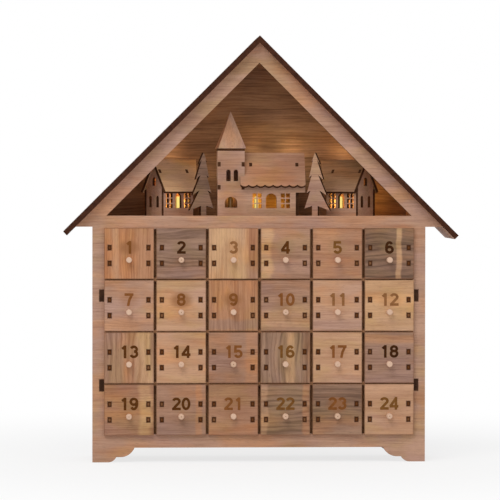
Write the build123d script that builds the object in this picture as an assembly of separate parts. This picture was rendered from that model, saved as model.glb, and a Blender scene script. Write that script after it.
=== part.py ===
from build123d import *
import os
from math import acos, cos, radians, sin, sqrt, tan

# A house-shaped advent calendar of laser-cut plywood, in millimetres.
# X runs to the right, Y to the back and Z up. The origin is under the middle, on the table.

# Drawer grid
columns = 6
rows = 4
cell_pitch = 50.0
crate_ply = 3.5
grid_base = 25.5
divider_setback = 8.0

# Case
carcass_ply = 5.0
back_ply = 4.0
cell_depth = 64.0
stile_lip = 6.75
beam_height = 12.8
gable_rail = 13.3
ear_drop = 10.55
side_tab_height = 11.2
side_tab_first = 48.5
side_tab_spacing = 86.0

# Feet
foot_height = 14.0
foot_flat = 15.0
toe_radius = 8.7
toe_rise = 5.0
instep_flat = 4.2
heel_radius = 14.4

# Roof
roof_ply = 5.0
eave_reach = 16.6
roof_front_reach = 8.0
roof_back_reach = 4.0

# Drawers
front_column_seam = 2.5
front_row_seam = 1.2
drawer_ply = 3.5
front_gap = 0.2
box_side_gap = 2.95
box_headroom = 4.2
box_rear_gap = 5.2
box_lift = 0.3
tab_height = 4.8
tab_spacing = 15.0
back_tab_height = 12.0
base_tab_length = 16.0
knob_diameter = 5.5
knob_reach = 7.0
knob_round = 0.9
knob_drop = 6.2

# Village
village_ply = 3.0
floor_drop = 0.4
bearer_width = 5.0
bearer_inset = 10.0

# Church
church_x = -26.3
church_setback = 14.0
tower_width = 26.2
tower_depth = 24.0
tower_height = 62.8
tower_tab_height = 4.4
tower_tab_low = 25.5
tower_tab_drop = 10.7
spire_eave = 0.4
spire_height = 36.0
spire_ply = 2.4
spire_turn = 5.0
spire_plate_ply = 2.4
nave_length = 49.4
nave_drop = 29.8
nave_case_gap = 10.2
nave_verge = 6.2
nave_eave = 7.0
nave_lobes = 8
nave_lobe_drop = 2.0
nave_inner_gable = 4.6
wall_plate = 10.3
tower_notch = 4.2
tower_notch_gap = 0.3
roof_pitch = 58.0
roof_tab_length = 4.2
roof_tab_below_ridge = 6.6

# Cottages
left_cottage_corner = -91.6
right_cottage_corner = 94.0
cottage_setback = 7.0
left_cottage_turn = 36.5
right_cottage_turn = 42.5
cottage_length = 36.2
cottage_width = 30.0
cottage_wall = 25.0
cottage_verge = 1.0
cottage_eave = 3.6

# Windows
pane_bar = 1.1
window_sill = 7.6
window_height = 14.2
small_window_width = 8.0
nave_window_width = 8.8
porch_width = 7.6
lancet_sill = 8.2
lancet_width = 3.8
lancet_height = 11.2
lancet_offset = 5.6
attic_rise = 4.2
attic_width = 5.0
attic_height = 8.0
belfry_shift = 1.0
belfry_offset = 3.6
belfry_sill = 33.6
belfry_width = 4.2
belfry_height = 11.2
tower_arch_sill = 8.1
tower_arch_width = 12.0
tower_arch_height = 10.4
nave_window_pitch = 13.7
nave_arch_width = 10.4

# Fir trees
fir_height = 61.2
fir_tiers = 4
fir_tip_low = 7.2
fir_tier_rise = 14.9
fir_half_width = 12.4
fir_taper = 2.75
fir_branch_rise = 2.6
fir_outer_share = 1.28
fir_inner_share = 0.9
fir_outer_droop = 1.8
trunk_width = 6.0
left_fir_x = -53.8
right_fir_x = 55.0
fir_setback = 8.5
fir_turn = 30.0

# Lamps and their lead
lamp_diameter = 4.4
lamp_height = 24.6
lamp_hole_gap = 0.6
lead_diameter = 1.6
feed_radius = 8.0
feed_hole = 5.0
lead_end = 6.0

# Battery case
case_x = 3.0
case_lift = 4.0
case_wall = 1.8
flange_thickness = 2.2
flange_rim = 6.0
cover_thickness = 1.2
cover_lap = 1.6
cover_gap = 0.2
cutout_gap = 0.2
cell_diameter = 14.2
cell_length = 50.0
cell_gap = 0.4
nub_diameter = 5.4
nub_length = 1.0
contact_thickness = 0.6
contact_width = 9.0
grip_ribs = 4
grip_rib_pitch = 3.0
grip_rib_width = 1.4
grip_rib_length = 12.0
grip_rib_height = 0.6
switch_bay = 9.0
switch_travel = 3.0
switch_base = 6.0
switch_base_thickness = 2.0
switch_nub_width = 3.2
switch_nub_length = 3.6
switch_nub_reach = 1.1
switch_gap = 0.25
screw_diameter = 2.0
screw_length = 5.0
screw_head_diameter = 4.0
screw_head_height = 1.0

# Places worked out from the sizes above
slope = sqrt(0.5)
grid_width = columns * cell_pitch
grid_top = grid_base + rows * cell_pitch
side_in = grid_width / 2 - crate_ply / 2
body_half = side_in + carcass_ply + stile_lip
bay_low = grid_base + crate_ply / 2
bay_high = grid_top - crate_ply / 2
beam_top = bay_high + beam_height
opening_half = body_half - gable_rail
panel_peak = beam_top + opening_half + gable_rail / slope
roof_peak = panel_peak + roof_ply / slope
ear_z = beam_top - ear_drop
roof_length = (panel_peak - ear_z) / slope + eave_reach
body_depth = carcass_ply + cell_depth + back_ply
front_width = cell_pitch - front_column_seam
front_height = cell_pitch - front_row_seam
box_width = cell_pitch - crate_ply - 2 * box_side_gap
box_height = cell_pitch - crate_ply - box_lift - box_headroom
box_depth = front_gap + carcass_ply + cell_depth - box_rear_gap
front_reach = max(front_gap + drawer_ply + knob_reach, roof_front_reach)
front_y = (front_reach - body_depth - roof_back_reach) / 2
inner_front_y = front_y + carcass_ply
inner_back_y = inner_front_y + cell_depth
outer_back_y = inner_back_y + back_ply
top_board_z = bay_high + carcass_ply
floor_z = beam_top - floor_drop
side_tab_heights = [grid_base + side_tab_first + i * side_tab_spacing for i in range(2)]
church_y = inner_front_y + church_setback
nave_wall = tower_height - nave_drop
tower_left = church_x - tower_width / 2
tower_right = church_x + tower_width / 2
nave_right = tower_right + nave_length
nave_verge_x = nave_right + village_ply + nave_verge
cell_bay_length = cell_length + nub_length + 2 * contact_thickness + 2 * cell_gap
cell_bay_height = 2 * cell_diameter + 3 * cell_gap
cell_bay_depth = cell_diameter + 2 * cell_gap
case_length = cell_bay_length + switch_bay + 3 * case_wall
case_height = cell_bay_height + 2 * case_wall
case_z = floor_z + case_lift + flange_rim + case_height / 2
case_left = case_x - case_length / 2
flange_y = outer_back_y + flange_thickness
case_front_y = flange_y - cover_thickness - cell_bay_depth - case_wall
cell_bay_x = case_left + case_wall + cell_bay_length / 2
switch_x = case_left + 2 * case_wall + cell_bay_length + switch_bay / 2
lead_z = top_board_z + lead_diameter / 2
nave_depth = case_front_y - church_y - nave_case_gap
lamp_y = church_y + nave_depth / 2


def block(x0, x1, y0, y1, z0, z1):
    """Return the box between two corners."""
    middle = Pos((x0 + x1) / 2, (y0 + y1) / 2, (z0 + z1) / 2)
    return middle * Box(x1 - x0, y1 - y0, z1 - z0)


def rectangle(u0, u1, v0, v1):
    """Return the flat rectangle between two corners."""
    return Pos((u0 + u1) / 2, (v0 + v1) / 2) * Rectangle(u1 - u0, v1 - v0)


def polygon(points):
    """Return the face inside a closed run of straight lines."""
    return make_face(Polyline(*points, close=True))


def upright(outline, y, thickness):
    """Stand a flat outline, drawn as X and Z, at y and thicken it towards the back."""
    plane = Plane(origin=(0, y, 0), x_dir=(1, 0, 0), z_dir=(0, -1, 0))
    return plane.location * extrude(outline, amount=-thickness)


def crosswise(outline, x, thickness):
    """Stand a flat outline, drawn as Y and Z, at x and thicken it towards the right."""
    plane = Plane(origin=(x, 0, 0), x_dir=(0, 1, 0), z_dir=(1, 0, 0))
    return plane.location * extrude(outline, amount=thickness)


def write(name, *pieces):
    """Write the solids of one node to its STEP file."""
    solids = [solid for piece in pieces for solid in piece.solids()]
    shape = solids[0] if len(solids) == 1 else Compound(solids)
    export_step(shape, f"parts/{name}.step")


def lobe(start, radius, rise):
    """Return the middle and the end of an arc that leaves start level and climbs by rise."""
    turn = acos(1 - rise / radius)
    middle = (start[0] + radius * sin(turn / 2), start[1] + radius * (1 - cos(turn / 2)))
    end = (start[0] + radius * sin(turn), start[1] + rise)
    return middle, end


def foot_arch():
    """Return the space under the bottom rail, between the scalloped feet."""
    toe = (foot_flat - body_half, 0.0)
    toe_middle, toe_end = lobe(toe, toe_radius, toe_rise)
    heel = (toe_end[0] + instep_flat, toe_rise)
    heel_middle, heel_end = lobe(heel, heel_radius, foot_height - toe_rise)
    left = [
        ThreePointArc(toe, toe_middle, toe_end),
        Line(toe_end, heel),
        ThreePointArc(heel, heel_middle, heel_end),
    ]
    right = [edge.mirror(Plane.YZ) for edge in left]
    rail = Line(heel_end, (-heel_end[0], heel_end[1]))
    table = Line(toe, (-toe[0], toe[1]))
    return make_face(left + right + [rail, table])


def house_outline():
    """Return the outline that the front and the back panel share, with their side tab slots."""
    ear_x = panel_peak - ear_z
    right = [(body_half, 0), (body_half, ear_z), (ear_x, ear_z)]
    left = [(-x, z) for x, z in reversed(right)]
    outline = polygon(right + [(0, panel_peak)] + left) - foot_arch()
    for z in side_tab_heights:
        slot = rectangle(side_in, side_in + carcass_ply, z - side_tab_height / 2, z + side_tab_height / 2)
        outline = outline - slot - slot.mirror(Plane.YZ)
    return outline


def front_panel():
    """Return the front sheet with the drawer window and the gable opening."""
    bays = rectangle(-side_in, side_in, bay_low, bay_high)
    gable = polygon([(-opening_half, beam_top), (opening_half, beam_top), (0, beam_top + opening_half)])
    return upright(house_outline() - bays - gable, front_y, carcass_ply)


def screw_places():
    """Return the corners of the battery case's flange that take a screw, as X and Z."""
    reach_x = case_length / 2 + flange_rim / 2
    reach_z = case_height / 2 + flange_rim / 2
    return [(case_x + i * reach_x, case_z + j * reach_z) for i in (-1, 1) for j in (-1, 1)]


def back_panel():
    """Return the back sheet with the cut-out for the battery case."""
    half_x = case_length / 2 + cutout_gap
    half_z = case_height / 2 + cutout_gap
    outline = house_outline()
    outline -= rectangle(case_x - half_x, case_x + half_x, case_z - half_z, case_z + half_z)
    for x, z in screw_places():
        outline -= Pos(x, z) * Circle(screw_diameter / 2)
    return upright(outline, inner_back_y, back_ply)


def side_panel():
    """Return the right side with its tabs through the front and the back panel."""
    top = panel_peak - side_in - carcass_ply
    outline = rectangle(inner_front_y, inner_back_y, foot_height, top)
    for z in side_tab_heights:
        outline += rectangle(front_y, outer_back_y, z - side_tab_height / 2, z + side_tab_height / 2)
    return crosswise(outline, side_in, carcass_ply)


def board(low):
    """Return a board that lies between the panels and the sides, from its underside's height."""
    return block(-side_in, side_in, inner_front_y, inner_back_y, low, low + carcass_ply)


def shelf(level):
    """Return one shelf, slotted from the back for the dividers."""
    z = grid_base + level * cell_pitch
    half_y = (front_y + divider_setback + inner_back_y) / 2
    result = block(-side_in, side_in, front_y, inner_back_y, z - crate_ply / 2, z + crate_ply / 2)
    half = crate_ply / 2
    for x in divider_places():
        result -= block(x - half, x + half, half_y, inner_back_y, z - crate_ply, z + crate_ply)
    return result


def divider_places():
    """Return the X of each upright divider."""
    return [i * cell_pitch - grid_width / 2 for i in range(1, columns)]


def divider(x):
    """Return one divider, slotted from the front for the shelves."""
    start_y = front_y + divider_setback
    half_y = (start_y + inner_back_y) / 2
    outline = rectangle(start_y, inner_back_y, bay_low, bay_high)
    for level in range(1, rows):
        z = grid_base + level * cell_pitch
        outline -= rectangle(start_y, half_y, z - crate_ply / 2, z + crate_ply / 2)
    return crosswise(outline, x - crate_ply / 2, crate_ply)


def roof_board(start, along, inward):
    """Return a roof board from its ridge corner, its run and its inner side, as X and Z."""
    eave = (start[0] + roof_length * along[0], start[1] + roof_length * along[1])
    step = (roof_ply * inward[0], roof_ply * inward[1])
    corners = [start, eave, (eave[0] + step[0], eave[1] + step[1]), (start[0] + step[0], start[1] + step[1])]
    depth = roof_front_reach + body_depth + roof_back_reach
    return upright(polygon(corners), front_y - roof_front_reach, depth)


def drawer(column, row):
    """Return the pieces of one drawer: front, sides, back, base and knob."""
    x = (column + 0.5) * cell_pitch - grid_width / 2
    z = grid_top - (row + 0.5) * cell_pitch
    seat_y = front_y - front_gap
    face_y = seat_y - drawer_ply
    rear_y = seat_y + box_depth
    low = z - cell_pitch / 2 + crate_ply / 2 + box_lift
    high = low + box_height
    outer = box_width / 2
    inner = outer - drawer_ply
    back_y = rear_y - drawer_ply
    base_y = (seat_y + back_y) / 2
    tab_levels = [(low + high + side * tab_spacing) / 2 for side in (-1, 1)]
    back_levels = ((low + high - back_tab_height) / 2, (low + high + back_tab_height) / 2)
    base_run = (base_y - base_tab_length / 2, base_y + base_tab_length / 2)
    knob_z = z - knob_drop
    half_width = front_width / 2
    half_height = front_height / 2

    front = rectangle(x - half_width, x + half_width, z - half_height, z + half_height)
    front -= Pos(x, knob_z) * Circle(knob_diameter / 2)
    wall = rectangle(seat_y, rear_y, low, high)
    for level in tab_levels:
        for left in (x - outer, x + inner):
            front -= rectangle(left, left + drawer_ply, level - tab_height / 2, level + tab_height / 2)
        wall += rectangle(face_y, seat_y, level - tab_height / 2, level + tab_height / 2)
    wall -= rectangle(back_y, rear_y, *back_levels)
    wall -= rectangle(*base_run, low, low + drawer_ply)

    back = rectangle(x - inner, x + inner, low, high) + rectangle(x - outer, x + outer, *back_levels)
    base = block(x - inner, x + inner, seat_y, back_y, low, low + drawer_ply)
    base += block(x - outer, x + outer, *base_run, low, low + drawer_ply)
    knob = Cylinder(knob_diameter / 2, knob_reach + drawer_ply)
    knob = fillet(knob.faces().sort_by(Axis.Z)[-1].edges(), knob_round)
    knob = Pos(x, seat_y - (knob_reach + drawer_ply) / 2, knob_z) * (Rot(X=90) * knob)
    return [
        upright(front, face_y, drawer_ply),
        crosswise(wall, x - outer, drawer_ply),
        crosswise(wall, x + inner, drawer_ply),
        upright(back, back_y, drawer_ply),
        base,
        knob,
    ]


def panes(middle, sill, width, height, across, up):
    """Return the glass openings of a barred window."""
    pane_width = (width - (across - 1) * pane_bar) / across
    pane_height = (height - (up - 1) * pane_bar) / up
    result = Sketch()
    for i in range(across):
        u = middle - width / 2 + i * (pane_width + pane_bar)
        for j in range(up):
            v = sill + j * (pane_height + pane_bar)
            result += rectangle(u, u + pane_width, v, v + pane_height)
    return result


def arched(middle, sill, width, height):
    """Return an opening with a round head."""
    left = middle - width / 2
    right = middle + width / 2
    spring = sill + height - width / 2
    jambs = Polyline((left, spring), (left, sill), (right, sill), (right, spring))
    head = ThreePointArc((left, spring), (middle, sill + height), (right, spring))
    return make_face([head] + list(jambs.edges()))


def pitched_roof(wall, width, eave):
    """Return the section of the near slope, with the wall's outer top corner at its underside."""
    pitch = radians(roof_pitch)
    rise = width / 2 * tan(pitch)
    foot = (-eave * cos(pitch), wall - eave * sin(pitch))
    corner = (foot[0] - village_ply * sin(pitch), foot[1] + village_ply * cos(pitch))
    return [foot, (width / 2, wall + rise), (width / 2, wall + rise + village_ply / cos(pitch)), corner]


def roof_tab(wall, width):
    """Return the section of the tab that a gable wall puts through the near slope."""
    pitch = radians(roof_pitch)
    along = (cos(pitch), sin(pitch))
    out = (-sin(pitch), cos(pitch))
    ridge = (width / 2, wall + width / 2 * tan(pitch))
    top = (ridge[0] - roof_tab_below_ridge * along[0], ridge[1] - roof_tab_below_ridge * along[1])
    low = (top[0] - roof_tab_length * along[0], top[1] - roof_tab_length * along[1])
    lift = (village_ply * out[0], village_ply * out[1])
    return [low, top, (top[0] + lift[0], top[1] + lift[1]), (low[0] + lift[0], low[1] + lift[1])]


def gable_wall(wall, width):
    """Return a gable wall that stands between two long walls, with its roof tabs."""
    step = village_ply * tan(radians(roof_pitch))
    apex = wall + width / 2 * tan(radians(roof_pitch))
    sides = [(village_ply, 0), (width - village_ply, 0), (width - village_ply, wall + step)]
    outline = polygon(sides + [(width / 2, apex), (village_ply, wall + step)])
    tab = polygon(roof_tab(wall, width))
    return outline + tab + Pos(width, 0) * tab.mirror(Plane.YZ)


def prow_waste(eave_y, prow):
    """Return what the near slope loses between its eave and its longer ridge, from the eave's Y."""
    start = cottage_length + cottage_verge
    plan = polygon([(start, eave_y), (start + prow, eave_y), (start + prow, cottage_width / 2)])
    return extrude(plan, amount=cottage_wall + cottage_width * tan(radians(roof_pitch)))


def cottage(turn):
    """Return the walls and the roof of a cottage whose near corner stands at the origin.

    The roof's far end is a prow that runs straight back once the cottage is turned.
    """
    long_wall = rectangle(0, cottage_length, 0, cottage_wall)
    spread = cottage_length / 2 - village_ply - small_window_width / 2
    front = long_wall - arched(cottage_length / 2, window_sill, porch_width, window_height)
    for side in (-1, 1):
        x = cottage_length / 2 + side * spread
        front -= panes(x, window_sill, small_window_width, window_height, 2, 3)
    end = gable_wall(cottage_wall, cottage_width)
    middle = cottage_width / 2
    near_end = end - arched(middle, cottage_wall + attic_rise, attic_width, attic_height)
    for side in (-1, 1):
        near_end -= arched(middle + side * lancet_offset, lancet_sill, lancet_width, lancet_height)
    walls = [
        upright(front, 0, village_ply),
        upright(long_wall, cottage_width - village_ply, village_ply),
        crosswise(near_end, 0, village_ply),
        crosswise(end, cottage_length - village_ply, village_ply),
    ]
    section = pitched_roof(cottage_wall, cottage_width, cottage_eave)
    eave_y = min(y for y, z in section)
    prow = (cottage_width / 2 - eave_y) * tan(radians(turn))
    run = cottage_length + 2 * cottage_verge + prow
    near = crosswise(polygon(section), -cottage_verge, run) - prow_waste(eave_y, prow)
    tab = polygon(roof_tab(cottage_wall, cottage_width))
    for x in (0, cottage_length - village_ply):
        near -= crosswise(tab, x, village_ply)
    far = Pos(0, cottage_width, 0) * near.mirror(Plane.XZ)
    return walls, [near, far]


def place_cottage(pieces, corner_x, turn, mirrored):
    """Turn and move the pieces of a cottage so that its near corner is at corner_x."""
    spot = Pos(corner_x, inner_front_y + cottage_setback, floor_z)
    turned = [Rot(Z=turn) * piece for piece in pieces]
    if mirrored:
        turned = [piece.mirror(Plane.YZ) for piece in turned]
    return [spot * piece for piece in turned]


def first_nave_window():
    """Return the X of the nave's first window, beside its inner gable wall."""
    return tower_right + nave_inner_gable + village_ply + nave_window_width / 2


def lamp_places():
    """Return the X of each lamp: behind the cottages' porches, in the tower and in the nave."""
    left_inset = cottage_length / 2 * cos(radians(left_cottage_turn))
    right_inset = cottage_length / 2 * cos(radians(right_cottage_turn))
    return [left_cottage_corner + left_inset, church_x, first_nave_window(), right_cottage_corner - right_inset]


def tower_levels():
    """Return the heights of the tower's tabs above the village floor."""
    return [tower_tab_low, tower_height - tower_tab_drop - tower_tab_height]


def church_front():
    """Return the sheet that is the face of both the tower and the nave."""
    outline = rectangle(tower_left, tower_right, 0, tower_height)
    outline += rectangle(tower_right, nave_right, 0, nave_wall)
    outline += rectangle(nave_right, nave_verge_x, nave_wall - wall_plate, nave_wall)
    for level in tower_levels():
        outline -= rectangle(tower_left, tower_left + village_ply, level, level + tower_tab_height)
        outline -= rectangle(tower_right - village_ply, tower_right, level, level + tower_tab_height)
    for side in (-1, 1):
        lancet_x = church_x + belfry_shift + side * belfry_offset
        outline -= arched(lancet_x, belfry_sill, belfry_width, belfry_height)
    outline -= arched(church_x, tower_arch_sill, tower_arch_width, tower_arch_height)
    first = first_nave_window()
    for x in (first, first + 2 * nave_window_pitch):
        outline -= panes(x, window_sill, nave_window_width, window_height, 2, 3)
    outline -= arched(first + nave_window_pitch, window_sill, nave_arch_width, window_height)
    return upright(outline, church_y, village_ply)


def tower_walls():
    """Return the two sides and the back of the tower."""
    near_y = church_y + village_ply
    far_y = church_y + tower_depth - village_ply
    side = rectangle(near_y, far_y, 0, tower_height)
    for level in tower_levels():
        side += rectangle(church_y, near_y, level, level + tower_tab_height)
    back = rectangle(tower_left, tower_right, 0, tower_height)
    return [
        crosswise(side, tower_left, village_ply),
        crosswise(side, tower_right - village_ply, village_ply),
        upright(back, far_y, village_ply),
    ]


def nave_gable_places():
    """Return the X of the nave's two gable walls."""
    return [tower_right + nave_inner_gable, nave_right]


def nave_walls():
    """Return the gable walls and the back wall of the nave."""
    end = Pos(church_y, 0) * gable_wall(nave_wall, nave_depth)
    back = rectangle(tower_right, nave_right + village_ply, 0, nave_wall)
    gables = [crosswise(end, x, village_ply) for x in nave_gable_places()]
    return gables + [upright(back, church_y + nave_depth - village_ply, village_ply)]


def lobed_edge(length):
    """Return the waste under a scalloped edge, drawn from its left end along X."""
    pitch = length / nave_lobes
    arcs = []
    for i in range(nave_lobes):
        middle = ((i + 0.5) * pitch, 0)
        arcs.append(ThreePointArc((i * pitch, nave_lobe_drop), middle, ((i + 1) * pitch, nave_lobe_drop)))
    below = -nave_lobe_drop
    frame = Polyline((0, nave_lobe_drop), (0, below), (length, below), (length, nave_lobe_drop))
    return make_face(arcs + list(frame.edges()))


def nave_roof():
    """Return the two slopes of the nave's roof, the near one scalloped and notched round the tower."""
    section = Pos(church_y, 0) * polygon(pitched_roof(nave_wall, nave_depth, nave_eave))
    tab = Pos(church_y, 0) * polygon(roof_tab(nave_wall, nave_depth))
    left = tower_right - tower_notch
    near = crosswise(section, left, nave_verge_x - left)
    near -= block(left, tower_right, church_y - tower_notch_gap, church_y + nave_depth, 0, tower_height)
    far = crosswise(section, tower_right, nave_verge_x - tower_right)
    for x in nave_gable_places():
        near -= crosswise(tab, x, village_ply)
        far -= crosswise(tab, x, village_ply)
    far = Pos(0, 2 * church_y + nave_depth, 0) * far.mirror(Plane.XZ)
    foot = pitched_roof(nave_wall, nave_depth, nave_eave)[0]
    tilt = radians(roof_pitch)
    eave = Plane(
        origin=(left, church_y + foot[0], foot[1]),
        x_dir=(1, 0, 0),
        z_dir=(0, -sin(tilt), cos(tilt)),
    )
    waste = extrude(lobed_edge(nave_verge_x - left), amount=2 * village_ply, both=True)
    return [near - eave.location * waste, far]


def spire_plate():
    """Return the plate that closes the tower and carries the spire."""
    plate = Box(tower_width, tower_depth, spire_plate_ply)
    return Pos(church_x, church_y + tower_depth / 2, tower_height + spire_plate_ply / 2) * plate


def pyramid_corners(half_x, half_y, height):
    """Return the base corners and the apex of a pyramid that stands on the origin."""
    base = [(-half_x, -half_y), (half_x, -half_y), (half_x, half_y), (-half_x, half_y)]
    return [(x, y, 0) for x, y in base], (0, 0, height)


def spire():
    """Return the four mitred triangles of the spire, a little askew on its plate."""
    foot = Pos(church_x, church_y + tower_depth / 2, tower_height + spire_plate_ply)
    half_x = tower_width / 2 + spire_eave
    half_y = tower_depth / 2 + spire_eave
    inset = spire_ply * sqrt(half_x**2 + spire_height**2) / spire_height
    share = 1 - inset / half_x
    outer, outer_apex = pyramid_corners(half_x, half_y, spire_height)
    inner, inner_apex = pyramid_corners(half_x * share, half_y * share, spire_height * share)
    plates = []
    for i in range(4):
        j = (i + 1) % 4
        faces = [
            [outer[i], outer[j], outer_apex],
            [inner[i], inner[j], inner_apex],
            [outer[i], outer[j], inner[j], inner[i]],
            [outer[i], outer_apex, inner_apex, inner[i]],
            [outer[j], outer_apex, inner_apex, inner[j]],
        ]
        shell = Shell([Face(Wire.make_polygon(points, close=True)) for points in faces])
        plates.append(foot * (Rot(Z=spire_turn) * Solid(shell)))
    return plates


def fir_side(share, droop):
    """Return one side of a fir tree from its foot upwards, as distances from its trunk's middle and heights."""
    side = [(trunk_width / 2, 0), (trunk_width / 2, fir_tip_low + fir_branch_rise)]
    for i in range(fir_tiers):
        tip = fir_half_width - i * fir_taper
        z = fir_tip_low + i * fir_tier_rise
        side.append((tip * share, z - droop))
        if i < fir_tiers - 1:
            side.append(((tip - fir_taper) / 2, z + fir_tier_rise + fir_branch_rise))
    return side


def fir(x, way):
    """Return a flat fir tree, turned about its trunk, with its longer branches forward and towards way."""
    inner = [(-way * u, z) for u, z in fir_side(fir_inner_share, 0)]
    outer = [(way * u, z) for u, z in fir_side(fir_outer_share, fir_outer_droop)]
    outline = polygon(inner + [(0, fir_height)] + outer[::-1])
    plate = upright(outline, -village_ply / 2, village_ply)
    return Pos(x, inner_front_y + fir_setback, floor_z) * (Rot(Z=-way * fir_turn) * plate)


def village_floor():
    """Return the floor of the village, bored for the lamps and their feed."""
    floor = block(-side_in, side_in, inner_front_y, inner_back_y, floor_z - village_ply, floor_z)
    for x in lamp_places():
        hole = Cylinder((lamp_diameter + lamp_hole_gap) / 2, 3 * village_ply)
        floor -= Pos(x, lamp_y, floor_z) * hole
    return floor - Pos(case_x, feed_y(), floor_z) * Cylinder(feed_hole / 2, 3 * village_ply)


def feed_y():
    """Return the Y at which the feed leaves the bottom of the battery case."""
    return (case_front_y + inner_back_y) / 2


def floor_bearers():
    """Return the two battens that carry the village floor."""
    reach = side_in - bearer_inset
    low = top_board_z
    high = floor_z - village_ply
    front = block(-reach, reach, inner_front_y, inner_front_y + bearer_width, low, high)
    back = block(-reach, reach, inner_back_y - bearer_width, inner_back_y, low, high)
    return [front, back]


def lamp(x):
    """Return one lamp with a round head, standing on the lead."""
    radius = lamp_diameter / 2
    low = lead_z + lead_diameter / 2
    shank = Pos(x, lamp_y, low + (lamp_height - radius) / 2) * Cylinder(radius, lamp_height - radius)
    return shank + Pos(x, lamp_y, low + lamp_height - radius) * Sphere(radius)


def lamp_lead():
    """Return the lead that runs under the lamps, and its feed from the battery case."""
    places = lamp_places()
    radius = lead_diameter / 2
    start = places[0] - lead_end
    end = places[-1] + lead_end
    main = Pos((start + end) / 2, lamp_y, lead_z) * (Rot(Y=90) * Cylinder(radius, end - start))
    gland = (case_x, feed_y(), case_z - case_height / 2)
    bend = (case_x, feed_y(), lead_z)
    join = (case_x, lamp_y + radius, lead_z)
    path = FilletPolyline(gland, bend, join, radius=feed_radius)
    profile = Plane(origin=gland, z_dir=(0, 0, -1)) * Circle(radius)
    return [main, sweep(profile, path=path)]


def cell_axes():
    """Return the Y and the heights of the two cells."""
    y = flange_y - cover_thickness - cell_gap - cell_diameter / 2
    rise = (cell_diameter + cell_gap) / 2
    return y, [case_z - rise, case_z + rise]


def cover_outline(gap):
    """Return the battery cover's rectangle, drawn as X and Z, with a gap all round."""
    half_x = cell_bay_length / 2 + cover_lap - gap
    half_z = cell_bay_height / 2 + cover_lap - gap
    return rectangle(cell_bay_x - half_x, cell_bay_x + half_x, case_z - half_z, case_z + half_z)


def switch_slot():
    """Return the slot in the flange that the switch's nub slides in, drawn as X and Z."""
    half_x = switch_nub_width / 2 + switch_gap
    half_z = switch_nub_length / 2 + switch_travel / 2 + switch_gap
    return rectangle(switch_x - half_x, switch_x + half_x, case_z - half_z, case_z + half_z)


def battery_case():
    """Return the moulded case: a tub behind the nave with a flange outside the back panel."""
    right = case_left + case_length
    low = case_z - case_height / 2
    high = case_z + case_height / 2
    case = block(case_left, right, case_front_y, flange_y, low, high)
    rim = flange_rim
    case += block(case_left - rim, right + rim, outer_back_y, flange_y, low - rim, high + rim)
    bay_y = flange_y - cover_thickness - cell_bay_depth
    bay = rectangle(
        cell_bay_x - cell_bay_length / 2,
        cell_bay_x + cell_bay_length / 2,
        case_z - cell_bay_height / 2,
        case_z + cell_bay_height / 2,
    )
    case -= upright(bay, bay_y, flange_y - bay_y)
    case -= upright(cover_outline(0), flange_y - cover_thickness, cover_thickness)
    switch_room = rectangle(
        switch_x - switch_bay / 2,
        switch_x + switch_bay / 2,
        case_z - cell_bay_height / 2,
        case_z + cell_bay_height / 2,
    )
    case -= upright(switch_room, bay_y, outer_back_y - bay_y)
    case -= upright(switch_slot(), bay_y, flange_y - bay_y)
    for x, z in screw_places():
        case -= Pos(x, flange_y, z) * (Rot(X=90) * Cylinder(screw_diameter / 2, 4 * flange_thickness))
    return case


def battery_cover():
    """Return the lift-off cover with its finger ribs."""
    cover = upright(cover_outline(cover_gap), flange_y - cover_thickness, cover_thickness)
    for i in range(grip_ribs):
        x = cell_bay_x + (i - (grip_ribs - 1) / 2) * grip_rib_pitch
        rib = rectangle(
            x - grip_rib_width / 2,
            x + grip_rib_width / 2,
            case_z - grip_rib_length / 2,
            case_z + grip_rib_length / 2,
        )
        cover += upright(rib, flange_y, grip_rib_height)
    return cover


def battery_cells():
    """Return the two cells, one turned end for end."""
    y, heights = cell_axes()
    cells = []
    for side, z in zip((-1, 1), heights):
        can = Rot(Y=90) * Cylinder(cell_diameter / 2, cell_length)
        nub_x = (cell_length + nub_length) / 2
        nub = Pos(nub_x, 0, 0) * (Rot(Y=90) * Cylinder(nub_diameter / 2, nub_length))
        cell = Pos(-nub_length / 2, 0, 0) * (can + nub)
        if side > 0:
            cell = cell.mirror(Plane.YZ)
        cells.append(Pos(cell_bay_x, y, z) * cell)
    return cells


def battery_contacts():
    """Return the four contact plates at the ends of the cells."""
    y, heights = cell_axes()
    half = contact_width / 2
    plates = []
    for z in heights:
        for side in (-1, 1):
            wall_x = cell_bay_x + side * cell_bay_length / 2
            inner_x = wall_x - side * contact_thickness
            x0, x1 = sorted((wall_x, inner_x))
            plates.append(block(x0, x1, y - half, y + half, z - half, z + half))
    return plates


def switch_slider():
    """Return the switch's slider in its lower position."""
    z = case_z - switch_travel / 2
    half = switch_base / 2
    base_y = outer_back_y - switch_gap
    inner_y = base_y - switch_base_thickness
    outer_y = flange_y + switch_nub_reach
    slider = block(switch_x - half, switch_x + half, inner_y, base_y, z - half, z + half)
    half_x = switch_nub_width / 2
    half_z = switch_nub_length / 2
    return slider + block(switch_x - half_x, switch_x + half_x, base_y, outer_y, z - half_z, z + half_z)


def case_screws():
    """Return the pan-head screws of the battery case's flange."""
    screws = []
    for x, z in screw_places():
        shank = Pos(0, 0, -screw_length / 2) * Cylinder(screw_diameter / 2, screw_length)
        head = Pos(0, 0, screw_head_height / 2) * Cylinder(screw_head_diameter / 2, screw_head_height)
        screws.append(Pos(x, flange_y, z) * (Rot(X=-90) * (shank + head)))
    return screws


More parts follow.
